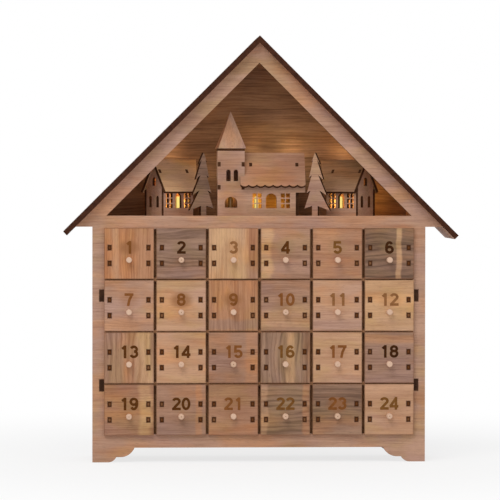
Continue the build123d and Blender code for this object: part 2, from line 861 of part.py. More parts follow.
def write_case():
    """Write the sheets of the case."""
    write("front_panel", front_panel())
    write("back_panel", back_panel())
    write("right_side", side_panel())
    write("left_side", side_panel().mirror(Plane.YZ))
    write("bottom_board", board(bay_low - carcass_ply))
    write("top_board", board(bay_high))
    for level in range(1, rows):
        write(f"shelf_{level}", shelf(level))
    write("dividers", *[divider(x) for x in divider_places()])
    step = roof_ply * slope
    write("left_roof", roof_board((0, roof_peak), (-slope, -slope), (slope, -slope)))
    write("right_roof", roof_board((step, roof_peak - step), (slope, -slope), (-slope, -slope)))


def write_drawers():
    """Write the drawers, numbered along the rows from the top."""
    for row in range(rows):
        for column in range(columns):
            write(f"drawer_{row * columns + column + 1:02d}", *drawer(column, row))


def write_village():
    """Write the floor of the gable and the buildings and trees on it."""
    on_floor = Pos(0, 0, floor_z)
    write("village_floor", village_floor())
    write("floor_bearers", *floor_bearers())
    write("church_front", on_floor * church_front())
    write("church_tower_walls", *[on_floor * piece for piece in tower_walls()])
    write("church_nave_walls", *[on_floor * piece for piece in nave_walls()])
    write("church_nave_roof", *[on_floor * piece for piece in nave_roof()])
    write("spire_plate", on_floor * spire_plate())
    write("church_spire", *[on_floor * piece for piece in spire()])
    for side, corner_x, turn in (
        ("left", left_cottage_corner, left_cottage_turn),
        ("right", right_cottage_corner, right_cottage_turn),
    ):
        walls, slopes = cottage(turn)
        write(f"{side}_cottage_walls", *place_cottage(walls, corner_x, turn, side == "right"))
        write(f"{side}_cottage_roof", *place_cottage(slopes, corner_x, turn, side == "right"))
    write("left_fir", fir(left_fir_x, -1))
    write("right_fir", fir(right_fir_x, 1))


def write_lighting():
    """Write the lamps, their lead and the battery case."""
    write("lamps", *[lamp(x) for x in lamp_places()])
    write("lamp_lead", *lamp_lead())
    write("battery_case", battery_case())
    write("battery_cover", battery_cover())
    write("battery_cells", *battery_cells())
    write("battery_contacts", *battery_contacts())
    write("switch_slider", switch_slider())
    write("case_screws", *case_screws())


os.makedirs("parts", exist_ok=True)
write_case()
write_drawers()
write_village()
write_lighting()
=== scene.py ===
"""Dresses the house-shaped advent calendar: veneers, burnt numbers, lit village, battery case, studio."""
import logging
import math
from collections.abc import Callable
from dataclasses import dataclass, field
from enum import Enum
from functools import reduce

import bmesh
import bpy
from mathutils import Matrix, Vector


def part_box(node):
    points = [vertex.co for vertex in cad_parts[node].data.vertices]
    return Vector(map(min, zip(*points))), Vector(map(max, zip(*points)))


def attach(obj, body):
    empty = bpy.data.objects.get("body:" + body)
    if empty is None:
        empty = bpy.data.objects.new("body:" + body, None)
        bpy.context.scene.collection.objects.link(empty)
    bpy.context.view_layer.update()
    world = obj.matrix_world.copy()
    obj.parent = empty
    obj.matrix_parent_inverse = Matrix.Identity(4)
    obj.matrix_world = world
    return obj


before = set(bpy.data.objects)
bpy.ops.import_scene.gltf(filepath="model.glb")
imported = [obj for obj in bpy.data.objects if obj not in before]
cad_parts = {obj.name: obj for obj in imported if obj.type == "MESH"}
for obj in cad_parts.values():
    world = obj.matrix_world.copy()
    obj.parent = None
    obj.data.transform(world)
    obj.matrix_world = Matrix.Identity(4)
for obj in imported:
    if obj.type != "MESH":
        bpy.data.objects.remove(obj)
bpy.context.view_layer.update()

log = logging.getLogger("advent_calendar")
Colour = tuple[float, float, float]
Axis = tuple[float, float, float]
Point = tuple[float, float]
Span = tuple[float, float]
Material = bpy.types.Material
Mesh = bpy.types.Mesh

MM = 0.001
PER_METRE = 1000.0
HALF = 0.5
SQUARE_ROOT = 0.5
FULL_TURN = 360.0
OPAQUE = 1.0
NOISE_MIDDLE = 0.5
ORIGIN: Axis = (0.0, 0.0, 0.0)
X_AXIS: Axis = (1.0, 0.0, 0.0)
Y_AXIS: Axis = (0.0, 1.0, 0.0)
Z_AXIS: Axis = (0.0, 0.0, 1.0)
WHITE: Colour = (1.0, 1.0, 1.0)

# The sockets of a Mix node for colours, by number, because their names repeat
MIX_SHARE = 0
MIX_FIRST = 6
MIX_SECOND = 7
MIX_RESULT = 2


class Socket:
    """A shader value that takes part in Python expressions."""

    def __init__(self, tree: "ShaderTree", plug: bpy.types.NodeSocket) -> None:
        """Keep the tree and the output that the value comes from."""
        self.tree = tree
        self.plug = plug

    def __add__(self, other: "Socket | float") -> "Socket":
        """Add a value on the right."""
        return self.tree.math("ADD", self, other)

    def __radd__(self, other: float) -> "Socket":
        """Add to a value on the left."""
        return self.tree.math("ADD", other, self)

    def __sub__(self, other: "Socket | float") -> "Socket":
        """Take a value away."""
        return self.tree.math("SUBTRACT", self, other)

    def __rsub__(self, other: float) -> "Socket":
        """Take this value away from another."""
        return self.tree.math("SUBTRACT", other, self)

    def __mul__(self, other: "Socket | float") -> "Socket":
        """Multiply by a value on the right."""
        return self.tree.math("MULTIPLY", self, other)

    def __rmul__(self, other: float) -> "Socket":
        """Multiply a value on the left."""
        return self.tree.math("MULTIPLY", other, self)

    def __pow__(self, other: float) -> "Socket":
        """Raise to a power."""
        return self.tree.math("POWER", self, other)

    def __abs__(self) -> "Socket":
        """Drop the sign."""
        return self.tree.math("ABSOLUTE", self)

    def sibling(self, name: str) -> "Socket":
        """Return another output of the same node."""
        return Socket(self.tree, self.plug.node.outputs[name])

    def swing(self, strength: float, middle: float = NOISE_MIDDLE) -> "Socket":
        """Return noise about zero instead of about its middle, times a strength."""
        return (self - middle) * strength


Axes = tuple[Socket, Socket, Socket]


@dataclass(frozen=True)
class Mottle:
    """Soft noise: the lumps in a millimetre, the finer layers, how strong those are, and any stretch."""

    scale: float
    detail: float = 2.0
    rough: float = 0.5
    stretch: Axis | None = None


class ShaderTree:
    """The node tree of one material, or of the world, while it is put together."""

    def __init__(self, owner: Material | bpy.types.World) -> None:
        """Empty the owner's node tree."""
        owner.use_nodes = True
        self.owner = owner
        self.nodes = owner.node_tree.nodes
        self.links = owner.node_tree.links
        self.nodes.clear()

    def add(
        self,
        kind: str,
        settings: dict[str, object] | None = None,
        inputs: dict[str | int, object] | None = None,
        output: str | int = 0,
    ) -> Socket | None:
        """Add one node.

        Args:
            kind: The node's type.
            settings: Its own settings, set before its sockets.
            inputs: Values or sockets for its inputs, by name or number.
            output: The output to return.

        Returns:
            The chosen output, or None for a node that has none.
        """
        node = self.nodes.new(kind)
        for key, value in (settings or {}).items():
            setattr(node, key, value)
        for key, value in (inputs or {}).items():
            self.fill(node.inputs[key], value)
        return Socket(self, node.outputs[output]) if node.outputs else None

    def fill(self, plug: bpy.types.NodeSocket, value: object) -> None:
        """Link a socket to an input, or set the input's own value."""
        if isinstance(value, Socket):
            self.links.new(value.plug, plug)
        elif plug.type == "RGBA":
            plug.default_value = (*value, OPAQUE)
        else:
            plug.default_value = value

    def math(self, operation: str, *values: Socket | float) -> Socket:
        """Return the result of a Math node."""
        return self.add("ShaderNodeMath", {"operation": operation}, dict(enumerate(values)))

    def vector_math(self, operation: str, *values: Socket | Axis, output: str = "Vector") -> Socket:
        """Return the result of a Vector Math node."""
        return self.add("ShaderNodeVectorMath", {"operation": operation}, dict(enumerate(values)), output)

    def mix(
        self,
        first: Socket | Colour,
        second: Socket | Colour,
        share: Socket | float,
        blend: str = "MIX",
    ) -> Socket:
        """Mix two colours.

        Args:
            first: The colour at a share of 0.
            second: The colour at a share of 1.
            share: How much of the second colour shows.
            blend: The way of mixing.

        Returns:
            The mixed colour.
        """
        settings = {"data_type": "RGBA", "blend_type": blend, "clamp_factor": True}
        inputs = {MIX_SHARE: share, MIX_FIRST: first, MIX_SECOND: second}
        return self.add("ShaderNodeMix", settings, inputs, MIX_RESULT)

    def step(self, value: Socket, start: float, end: float) -> Socket:
        """Return a smooth climb from 0 at start to 1 at end."""
        inputs = {"Value": value, "From Min": start, "From Max": end}
        return self.add("ShaderNodeMapRange", {"interpolation_type": "SMOOTHSTEP"}, inputs)

    def place(self) -> Socket:
        """Return the point on the piece at rest, in millimetres."""
        metres = self.add("ShaderNodeTexCoord", output="Object")
        return self.add("ShaderNodeVectorMath", {"operation": "SCALE"}, {0: metres, "Scale": PER_METRE})

    def along(self, place: Socket, axis: Axis) -> Socket:
        """Return how far a point lies along an axis."""
        return self.vector_math("DOT_PRODUCT", place, axis, output="Value")

    def join(self, x: Socket | float, y: Socket | float, z: Socket | float) -> Socket:
        """Return the vector of three values."""
        return self.add("ShaderNodeCombineXYZ", None, {0: x, 1: y, 2: z})

    def from_front(self, place: Socket, middle: Axis) -> tuple[Socket, ...]:
        """Return how far a point lies to the right of a middle and above it."""
        return tuple(self.along(place, axis) - reach_along(middle, axis) for axis in (X_AXIS, Z_AXIS))

    def noise(self, place: Socket, mottle: Mottle) -> Socket:
        """Return soft noise about one half.

        Args:
            place: Where the noise is read.
            mottle: The kind of noise.

        Returns:
            The noise.
        """
        if mottle.stretch:
            place = self.vector_math("MULTIPLY", place, mottle.stretch)
        inputs = {"Scale": mottle.scale, "Detail": mottle.detail, "Roughness": mottle.rough}
        return self.add("ShaderNodeTexNoise", {"noise_dimensions": "3D"}, {"Vector": place, **inputs})

    def distance(self, across: Socket, up: Socket) -> Socket:
        """Return how far a point lies from a middle, by its two offsets."""
        return (across * across + up * up) ** SQUARE_ROOT

    def wave(self, angle: Socket) -> Socket:
        """Return the sine of an angle, from 0 to 1."""
        return HALF + HALF * self.math("SINE", angle)

    def extreme(self, operation: str, values: list[Socket]) -> Socket:
        """Return the MAXIMUM or the MINIMUM of several values."""
        return reduce(lambda first, second: self.math(operation, first, second), values)

    def blend_shaders(self, share: Socket, first: Socket, second: Socket) -> Socket:
        """Return the mix of two shaders."""
        return self.add("ShaderNodeMixShader", None, dict(enumerate((share, first, second))))

    def surface(
        self,
        colour: Socket,
        roughness: Socket | float,
        height: Socket,
        depth: float,
        **others: Socket | float,
    ) -> Material:
        """Close the tree with a principled surface.

        Args:
            colour: The base colour.
            roughness: The roughness.
            height: The relief, from 0 to 1.
            depth: The relief's depth in millimetres.
            others: More inputs of the surface, with underscores for spaces.

        Returns:
            The material.
        """
        inputs = {"Base Color": colour, "Roughness": roughness}
        inputs.update({key.replace("_", " "): value for key, value in others.items()})
        inputs["Normal"] = self.add("ShaderNodeBump", None, {"Distance": depth * MM, "Height": height})
        shader = self.add("ShaderNodeBsdfPrincipled", None, inputs)
        self.add("ShaderNodeOutputMaterial", None, {"Surface": shader})
        return self.owner


def material_tree(name: str) -> ShaderTree:
    """Return an empty tree for a new material."""
    return ShaderTree(bpy.data.materials.new(name))


def reach_along(point: Axis, axis: Axis) -> float:
    """Return how far a point lies along an axis."""
    return Vector(point).dot(Vector(axis))


class WoodTone(Enum):
    """The light and the dark colour of a veneer."""

    PINK_TAN = ((0.55, 0.325, 0.22), (0.36, 0.19, 0.12))
    WARM_TAN = ((0.55, 0.275, 0.145), (0.35, 0.15, 0.07))
    YELLOW_TAN = ((0.66, 0.39, 0.21), (0.45, 0.235, 0.115))
    PALE_TAN = ((0.61, 0.35, 0.21), (0.44, 0.225, 0.125))
    PINK_BROWN = ((0.46, 0.255, 0.165), (0.27, 0.135, 0.08))
    RED_BROWN = ((0.47, 0.245, 0.145), (0.29, 0.13, 0.07))
    GREY_BROWN = ((0.4, 0.235, 0.15), (0.19, 0.1, 0.06))
    DULL_BROWN = ((0.36, 0.195, 0.098), (0.17, 0.083, 0.039))
    DARK_BROWN = ((0.3, 0.165, 0.1), (0.11, 0.055, 0.033))
    LILAC_GREY = ((0.43, 0.245, 0.165), (0.27, 0.145, 0.095))
    # Painted shade: the darker tone of the back panel's inside face
    SMOKED = ((0.36, 0.185, 0.088), (0.14, 0.06, 0.024))
    # Painted light: the amber of the lamplit inner face of the nave's back
    AMBER = ((0.54, 0.34, 0.09), (0.37, 0.19, 0.04))
    STAINED = ((0.11, 0.046, 0.024), (0.05, 0.02, 0.011))


class Tint(Enum):
    """A cast of colour that lies in patches over a veneer."""

    ORANGE = (1.16, 0.94, 0.66)
    LILAC = (0.93, 0.95, 1.12)
    OLIVE = (0.95, 1.0, 0.74)


class EdgeTone(Enum):
    """The light and the dark colour of a laser-cut edge."""

    PANEL = ((0.17, 0.082, 0.045), (0.045, 0.02, 0.011))
    SIDE_TAB = ((0.075, 0.034, 0.018), (0.02, 0.01, 0.007))
    # The shelf, divider and drawer edges below are lightened with painted light, so that the seams between
    # the drawers read lighter than their shade
    SHELF = ((0.55, 0.3, 0.16), (0.3, 0.14, 0.065))
    DIVIDER = ((0.7, 0.36, 0.18), (0.45, 0.2, 0.09))
    ROOF = ((0.085, 0.03, 0.015), (0.03, 0.011, 0.007))
    DRAWER = ((0.44, 0.2, 0.1), (0.25, 0.105, 0.05))
    # The village edges below are scorched edges darkened further with painted shade for the gaps in and
    # between the village's pieces
    VILLAGE = ((0.11, 0.046, 0.021), (0.034, 0.013, 0.006))
    FIR = ((0.06, 0.021, 0.007), (0.02, 0.007, 0.003))


class Shade(Enum):
    """The colour of a plastic, of a plated metal, and of the painted shade in the screws' recesses."""

    IVORY = (0.62, 0.6, 0.52)
    CHARCOAL = (0.018, 0.018, 0.019)
    SOFT_BLACK = (0.02, 0.02, 0.021)
    JET = (0.011, 0.011, 0.012)
    NICKEL = (0.74, 0.72, 0.68)
    ZINC = (0.62, 0.63, 0.64)
    # Painted shade: the near-black of the screws' cross recesses
    DULL_STEEL = (0.05, 0.05, 0.052)


class Layer(Enum):
    """A layer of noise in a veneer: lumps per millimetre along and across, start, detail and roughness."""

    BROAD = (0.014, 0.06, 0.0, 3.0, 0.5)
    DRIFT = (0.011, 0.03, 3.0, 2.0, 0.5)
    STREAKS = (0.011, 0.3, 5.0, 4.0, 0.6)
    FIBRE = (0.035, 0.85, 8.0, 3.0, 0.65)
    LINES = (0.018, 1.05, 11.0, 1.0, 0.5)
    LINE_BREAKS = (0.02, 0.05, 14.0, 2.0, 0.5)
    PORES = (0.16, 2.9, 17.0, 1.0, 0.5)
    ORANGE_CLOUD = (0.018, 0.042, 20.0, 3.0, 0.5)
    LILAC_CLOUD = (0.018, 0.042, 23.0, 3.0, 0.5)
    OLIVE_CLOUD = (0.018, 0.042, 26.0, 3.0, 0.5)

    def __init__(self, along: float, across: float, start: float, detail: float, rough: float) -> None:
        """Name the parts of the value."""
        self.along = along
        self.across = across
        self.start = start
        self.mottle = Mottle(1.0, detail, rough)


class Figure(Enum):
    """The figure of a veneer: ring spacing, wander, arching, and the strength of rings, streaks and lines."""

    PLAIN = (3.1, 5.0, 0.0, 0.0, 1.15, 0.4)
    LINED = (2.4, 6.0, 0.0, 0.2, 1.0, 0.85)
    STRAIGHT = (2.7, 8.0, 0.0, 0.36, 1.5, 0.4)
    ARCHED = (4.2, 9.0, 0.22, 1.0, 0.7, 0.35)
    WAVY = (4.6, 22.0, 0.0, 0.7, 1.6, 0.25)

    def __init__(
        self, spacing: float, wander: float, arching: float, rings: float, streaks: float, lines: float
    ) -> None:
        """Name the parts of the value."""
        self.spacing = spacing
        self.wander = wander
        self.arching = arching
        self.rings = rings
        self.streaks = streaks
        self.lines = lines


@dataclass(frozen=True)
class Grain:
    """The directions along and across the fibres of a veneer."""

    along: Axis
    across: Axis

    def through(self) -> Axis:
        """Return the direction square to both."""
        return tuple(Vector(self.along).cross(Vector(self.across)))


LEVEL = Grain(X_AXIS, Z_AXIS)
UPRIGHT = Grain(Z_AXIS, X_AXIS)
FLAT_LEVEL = Grain(X_AXIS, Y_AXIS)
SIDE_UPRIGHT = Grain(Z_AXIS, Y_AXIS)
SIDE_DEEP = Grain(Y_AXIS, Z_AXIS)


BAND_STRENGTH = 0.8
SEED_STEP = 7.31
RING_SHARPNESS = 2.0
CLOUDS = (Layer.ORANGE_CLOUD, Layer.LILAC_CLOUD, Layer.OLIVE_CLOUD)


@dataclass(frozen=True)
class Band:
    """A stripe of another tone across a drawer's front, in millimetres from its middle."""

    axis: Axis
    middle: float
    half_width: float
    tone: WoodTone
    strength: float = BAND_STRENGTH
    ruffle: float = 2.0
    core: float = 0.55
    fade: float = 1.35


@dataclass(frozen=True)
class Rim:
    """The scorch along the cut edge of a square front."""

    middle: Axis
    half: Point
    reach: float = 1.3
    strength: float = 1.2
    colour: Colour = (0.2, 0.085, 0.038)


@dataclass(frozen=True)
class Scorch:
    """The burnt border of four slots that lie evenly about a middle, seen from the front."""

    middle: Axis
    offset: Point
    half: Point
    reach: float = 0.9
    strength: float = 0.9
    colour: Colour = (0.08, 0.03, 0.011)
    smoke: Mottle = Mottle(0.6)


@dataclass(frozen=True)
class Smudge:
    """The brown haze that the burning of a number leaves round it."""

    middle: Axis
    half: Point
    colour: Colour
    strength: float
    ruffle: float = 0.8
    span: Span = (0.35, 1.15)


@dataclass(frozen=True)
class Veneer:
    """The face of a plywood sheet."""

    name: str
    tone: WoodTone
    grain: Grain = LEVEL
    figure: Figure = Figure.PLAIN
    seed: float = 0.0
    heart: Axis = ORIGIN
    bands: tuple[Band, ...] = ()
    rim: Rim | None = None
    scorch: Scorch | None = None
    smudge: Smudge | None = None
    patches: float = 0.65
    gloss: float = 0.3
    roughness: float = 0.62
    fibre_roughness: float = 0.2
    middle_shade: float = 0.36
    broad_swing: float = 1.6
    fibre_swing: float = 1.44
    line_span: Span = (0.54, 0.7)
    line_break_span: Span = (0.42, 0.6)
    pore_span: Span = (0.6, 0.7)
    pore_shade: float = 0.55
    pore_strength: float = 0.4
    cloud_span: Span = (0.47, 0.68)
    fibre_relief: float = 0.7
    pore_relief: float = 0.5
    line_relief: float = 0.2
    relief: float = 0.06

    def read(self, tree: ShaderTree, axes: Axes, layer: Layer) -> Socket:
        """Return a layer of noise that is stretched along the grain.

        Args:
            tree: The tree to build in.
            axes: The distances along, across and through the veneer.
            layer: The layer.

        Returns:
            The noise, about one half.
        """
        start = self.seed * SEED_STEP + layer.start
        along, across, through = axes
        spot = tree.join(along * layer.along + start, across * layer.across - start, through * layer.across)
        return tree.noise(spot, layer.mottle)

    def rings(self, tree: ShaderTree, axes: Axes) -> Socket:
        """Return the dark lines of the year rings.

        Args:
            tree: The tree to build in.
            axes: The distances along, across and through the veneer, with the wander added.

        Returns:
            The strength of the line, from 0 to 1.
        """
        away = axes[1] - reach_along(self.heart, self.grain.across)
        if self.figure.arching:
            run = (axes[0] - reach_along(self.heart, self.grain.along)) * self.figure.arching
            away = tree.distance(away, run)
        return tree.wave(away * (math.tau / self.figure.spacing)) ** RING_SHARPNESS

    def material(self) -> Material:
        """Return the veneer's material."""
        tree = material_tree(self.name)
        place = tree.place()
        directions = (self.grain.along, self.grain.across, self.grain.through())
        straight = tuple(tree.along(place, axis) for axis in directions)
        drift = self.read(tree, straight, Layer.DRIFT).swing(self.figure.wander)
        axes = (straight[0], straight[1] + drift, straight[2])
        broad = self.read(tree, straight, Layer.BROAD)
        streaks = self.read(tree, axes, Layer.STREAKS)
        fibre = self.read(tree, axes, Layer.FIBRE)
        lines = tree.step(self.read(tree, axes, Layer.LINES), *self.line_span)
        lines = lines * tree.step(self.read(tree, straight, Layer.LINE_BREAKS), *self.line_break_span)
        pores = tree.step(self.read(tree, straight, Layer.PORES), *self.pore_span)
        shade = self.middle_shade + broad.swing(self.broad_swing) + streaks.swing(self.figure.streaks)
        shade = shade + fibre.swing(self.fibre_swing) + lines * self.figure.lines
        if self.figure.rings:
            shade = shade + self.rings(tree, axes) * broad * self.figure.rings
        shade = tree.math("MAXIMUM", shade, 0.0)
        light, dark = self.tone.value
        colour = tree.mix(light, dark, shade)
        for band in self.bands:
            colour = self.add_band(tree, place, colour, band, shade, broad)
        for tint, layer in zip(Tint, CLOUDS):
            cloud = tree.step(self.read(tree, straight, layer), *self.cloud_span)
            colour = tree.mix(colour, tint.value, cloud * self.patches, "MULTIPLY")
        pore_colour = tuple(part * self.pore_shade for part in dark)
        colour = tree.mix(colour, pore_colour, pores * self.pore_strength)
        if self.smudge:
            colour = self.add_smudge(tree, place, colour, broad)
        if self.rim:
            colour = self.add_rim(tree, place, colour, broad)
        if self.scorch:
            colour = self.add_scorch(tree, place, colour)
        height = fibre * self.fibre_relief - pores * self.pore_relief - lines * self.line_relief
        roughness = self.roughness + fibre.swing(self.fibre_roughness)
        return tree.surface(colour, roughness, height, self.relief, Specular_IOR_Level=self.gloss)

    def add_band(
        self, tree: ShaderTree, place: Socket, colour: Socket, band: Band, shade: Socket, broad: Socket
    ) -> Socket:
        """Lay a stripe of another tone over the colour.

        Args:
            tree: The tree to build in.
            place: The point on the piece.
            colour: The colour so far.
            band: The stripe.
            shade: The share of dark wood.
            broad: Slow noise that ruffles the stripe's edges.

        Returns:
            The new colour.
        """
        middle = reach_along(self.heart, band.axis) + band.middle
        offset = abs(tree.along(place, band.axis) - middle + broad.swing(band.ruffle * band.half_width))
        mask = 1.0 - tree.step(offset, band.half_width * band.core, band.half_width * band.fade)
        return tree.mix(colour, tree.mix(*band.tone.value, shade), mask * band.strength)

    def add_rim(self, tree: ShaderTree, place: Socket, colour: Socket, broad: Socket) -> Socket:
        """Darken the colour along the edges of a square front.

        Args:
            tree: The tree to build in.
            place: The point on the piece.
            colour: The colour so far.
            broad: Slow noise that makes the scorch uneven.

        Returns:
            The new colour.
        """
        offsets = tree.from_front(place, self.rim.middle)
        beyond = [abs(offset) - half for offset, half in zip(offsets, self.rim.half)]
        mask = tree.step(tree.extreme("MAXIMUM", beyond), -self.rim.reach, 0.0)
        return tree.mix(colour, self.rim.colour, mask * broad * self.rim.strength)

    def add_scorch(self, tree: ShaderTree, place: Socket, colour: Socket) -> Socket:
        """Burn a border round the slots of a front.

        Args:
            tree: The tree to build in.
            place: The point on the piece.
            colour: The colour so far.

        Returns:
            The new colour.
        """
        slots = zip(tree.from_front(place, self.scorch.middle), self.scorch.offset, self.scorch.half)
        beyond = [abs(abs(offset) - slot) - half for offset, slot, half in slots]
        smoke = tree.noise(place, self.scorch.smoke).swing(self.scorch.reach)
        mask = 1.0 - tree.step(tree.extreme("MAXIMUM", beyond) + smoke, 0.0, self.scorch.reach)
        return tree.mix(colour, self.scorch.colour, mask * self.scorch.strength)

    def add_smudge(self, tree: ShaderTree, place: Socket, colour: Socket, broad: Socket) -> Socket:
        """Lay the haze of a burnt number over a front.

        Args:
            tree: The tree to build in.
            place: The point on the piece.
            colour: The colour so far.
            broad: Slow noise that makes the haze uneven.

        Returns:
            The new colour.
        """
        offsets = tree.from_front(place, self.smudge.middle)
        across, up = (offset * (1.0 / half) for offset, half in zip(offsets, self.smudge.half))
        reach = tree.distance(across, up) + broad.swing(self.smudge.ruffle)
        mask = 1.0 - tree.step(reach, *self.smudge.span)
        return tree.mix(colour, self.smudge.colour, mask * self.smudge.strength)


@dataclass(frozen=True)
class CutEdge:
    """A laser-cut edge: scorched layers of veneer."""

    name: str
    tone: EdgeTone = EdgeTone.PANEL
    layer_axis: Axis | None = None
    layer: float = 1.25
    layer_swing: float = 0.22
    smoke: Mottle = Mottle(0.22, 4.0, 0.6)
    smoke_swing: float = 1.8
    soot: Mottle = Mottle(1.7)
    soot_swing: float = 0.9
    middle_shade: float = 0.45
    roughness: float = 0.75
    relief: float = 0.08
    gloss: float = 0.05

    def material(self) -> Material:
        """Return the edge's material."""
        tree = material_tree(self.name)
        place = tree.place()
        smoke = tree.noise(place, self.smoke)
        soot = tree.noise(place, self.soot)
        shade = smoke.swing(self.smoke_swing) + soot.swing(self.soot_swing) + self.middle_shade
        if self.layer_axis:
            angle = tree.along(place, self.layer_axis) * (math.pi / self.layer)
            shade = shade + tree.math("SINE", angle) * self.layer_swing
        colour = tree.mix(*self.tone.value, shade)
        return tree.surface(colour, self.roughness, soot, self.relief, Specular_IOR_Level=self.gloss)


@dataclass(frozen=True)
class Grid:
    """The even rows and columns that the drawers stand in, in millimetres."""

    pitch: float
    origin: Point

    def offsets(self, tree: ShaderTree, place: Socket) -> list[Socket]:
        """Return how far a point lies from the middle of its cell, to the right and up."""
        result = []
        for axis, origin in zip((X_AXIS, Z_AXIS), self.origin):
            run = tree.along(place, axis) - (origin - self.pitch / 2)
            result.append(tree.math("FLOORED_MODULO", run, self.pitch) - self.pitch / 2)
        return result


@dataclass(frozen=True)
class TabEnd:
    """The scorched end of a tab, with a dark kerf round a core that is pale on some and burnt on most."""

    name: str
    grid: Grid
    offset: Point
    half: Point
    burnt: Colour = (0.13, 0.045, 0.015)
    pale: Colour = (0.22, 0.1, 0.045)
    kerf: Colour = (0.06, 0.021, 0.008)
    soot: Mottle = Mottle(0.75, 3.0)
    mood: Mottle = Mottle(0.045, 0.0)
    core_ruffle: float = 0.3
    core_span: Span = (0.52, 0.7)
    kerf_ruffle: float = 0.5
    kerf_span: Span = (0.3, 0.75)
    roughness: float = 0.8
    relief: float = 0.1

    def material(self) -> Material:
        """Return the tab end's material."""
        tree = material_tree(self.name)
        place = tree.place()
        soot = tree.noise(place, self.soot)
        mood = tree.noise(place, self.mood)
        tabs = zip(self.grid.offsets(tree, place), self.offset, self.half)
        shares = [abs(abs(spot) - offset) * (1.0 / half) for spot, offset, half in tabs]
        reach = tree.extreme("MAXIMUM", shares)
        core = tree.step(mood + soot.swing(self.core_ruffle), *self.core_span)
        ring = tree.step(reach + soot.swing(self.kerf_ruffle), *self.kerf_span)
        colour = tree.mix(tree.mix(self.burnt, self.pale, core), self.kerf, ring)
        return tree.surface(colour, self.roughness, soot, self.relief, Specular_IOR_Level=0.0)


@dataclass(frozen=True)
class Dowel:
    """The pale turned wood of a knob, with rings on its end."""

    name: str
    grid: Grid
    light: Colour = (0.74, 0.5, 0.36)
    dark: Colour = (0.6, 0.37, 0.24)
    pith: Colour = (0.3, 0.15, 0.08)
    lump: Mottle = Mottle(0.5)
    lump_reach: float = 1.4
    ring_rate: float = 7.0
    ring_share: float = 0.35
    mood: Mottle = Mottle(0.021, 0.0)
    mood_middle: float = 0.4
    mood_swing: float = 1.2
    pith_span: Span = (0.25, 0.75)
    pith_mood: Span = (0.5, 0.62)
    roughness: float = 0.5
    relief: float = 0.03
    gloss: float = 0.4

    def material(self) -> Material:
        """Return the knob's material."""
        tree = material_tree(self.name)
        place = tree.place()
        radius = tree.distance(*self.grid.offsets(tree, place))
        lump = tree.noise(place, self.lump)
        rings = tree.wave((radius + lump * self.lump_reach) * self.ring_rate)
        mood = tree.noise(place, self.mood)
        shade = rings * self.ring_share + mood.swing(self.mood_swing, self.mood_middle)
        colour = tree.mix(self.light, self.dark, shade)
        pith = 1.0 - tree.step(radius, *self.pith_span)
        colour = tree.mix(colour, self.pith, pith * tree.step(mood, *self.pith_mood))
        return tree.surface(colour, self.roughness, rings, self.relief, Specular_IOR_Level=self.gloss)


class Haze(Enum):
    """The colour of the smoke round a burnt number."""

    RUST = (0.29, 0.115, 0.04)
    OLIVE = (0.3, 0.185, 0.08)


class Burn(Enum):
    """How a number is burnt in: its light and dark colour, and its haze's colour and strength."""

    FAINT = ((0.33, 0.15, 0.06), (0.22, 0.095, 0.036), Haze.RUST, 0.25)
    BLURRED = ((0.27, 0.1, 0.03), (0.17, 0.062, 0.019), Haze.RUST, 0.75)
    RUST = ((0.29, 0.11, 0.035), (0.18, 0.065, 0.021), Haze.RUST, 0.35)
    OLIVE = ((0.24, 0.105, 0.03), (0.15, 0.063, 0.019), Haze.OLIVE, 0.3)
    BROWN = ((0.14, 0.05, 0.013), (0.075, 0.026, 0.008), Haze.OLIVE, 0.4)
    BLACK = ((0.075, 0.027, 0.009), (0.035, 0.013, 0.006), Haze.OLIVE, 0.35)

    def __init__(self, light: Colour, dark: Colour, haze: Haze, strength: float) -> None:
        """Name the parts of the value."""
        self.light = light
        self.dark = dark
        self.haze = haze
        self.strength = strength


@dataclass(frozen=True)
class BurntNumber:
    """The scorched surface of a number."""

    burn: Burn
    patch: Mottle = Mottle(0.28, 3.0, 0.6)
    patch_swing: float = 1.6
    streak: Mottle = Mottle(1.0, stretch=(0.2, 1.0, 1.2))
    streak_swing: float = 1.2
    middle_shade: float = 0.5
    roughness: float = 0.8
    relief: float = 0.06

    def material(self) -> Material:
        """Return the number's material."""
        tree = material_tree(f"number_{self.burn.name.lower()}")
        place = tree.place()
        patch = tree.noise(place, self.patch)
        streak = tree.noise(place, self.streak)
        shade = patch.swing(self.patch_swing) + streak.swing(self.streak_swing) + self.middle_shade
        colour = tree.mix(self.burn.light, self.burn.dark, shade)
        return tree.surface(colour, self.roughness, streak, self.relief, Specular_IOR_Level=0.0)


# The finer layers of the noise that roughens plastic and metal
FINE_DETAIL = 3.0
FINE_ROUGH = 0.7


@dataclass(frozen=True)
class Moulding:
    """A moulded plastic with a fine spark texture and paler, worn spots."""

    name: str
    shade: Shade
    roughness: float
    texture: float = 3.0
    relief: float = 0.03
    spark_swing: float = 0.25
    dust: Mottle = Mottle(0.06, 3.0)
    dust_middle: float = 0.4
    dust_swing: float = 1.2
    worn_share: float = 1.5
    worn_lift: float = 0.012

    def material(self) -> Material:
        """Return the moulding's material."""
        tree = material_tree(self.name)
        place = tree.place()
        sparks = tree.noise(place, Mottle(self.texture, FINE_DETAIL, FINE_ROUGH))
        dust = tree.noise(place, self.dust)
        worn = tuple(min(1.0, part * self.worn_share + self.worn_lift) for part in self.shade.value)
        colour = tree.mix(self.shade.value, worn, dust.swing(self.dust_swing, self.dust_middle))
        return tree.surface(colour, self.roughness + sparks.swing(self.spark_swing), sparks, self.relief)


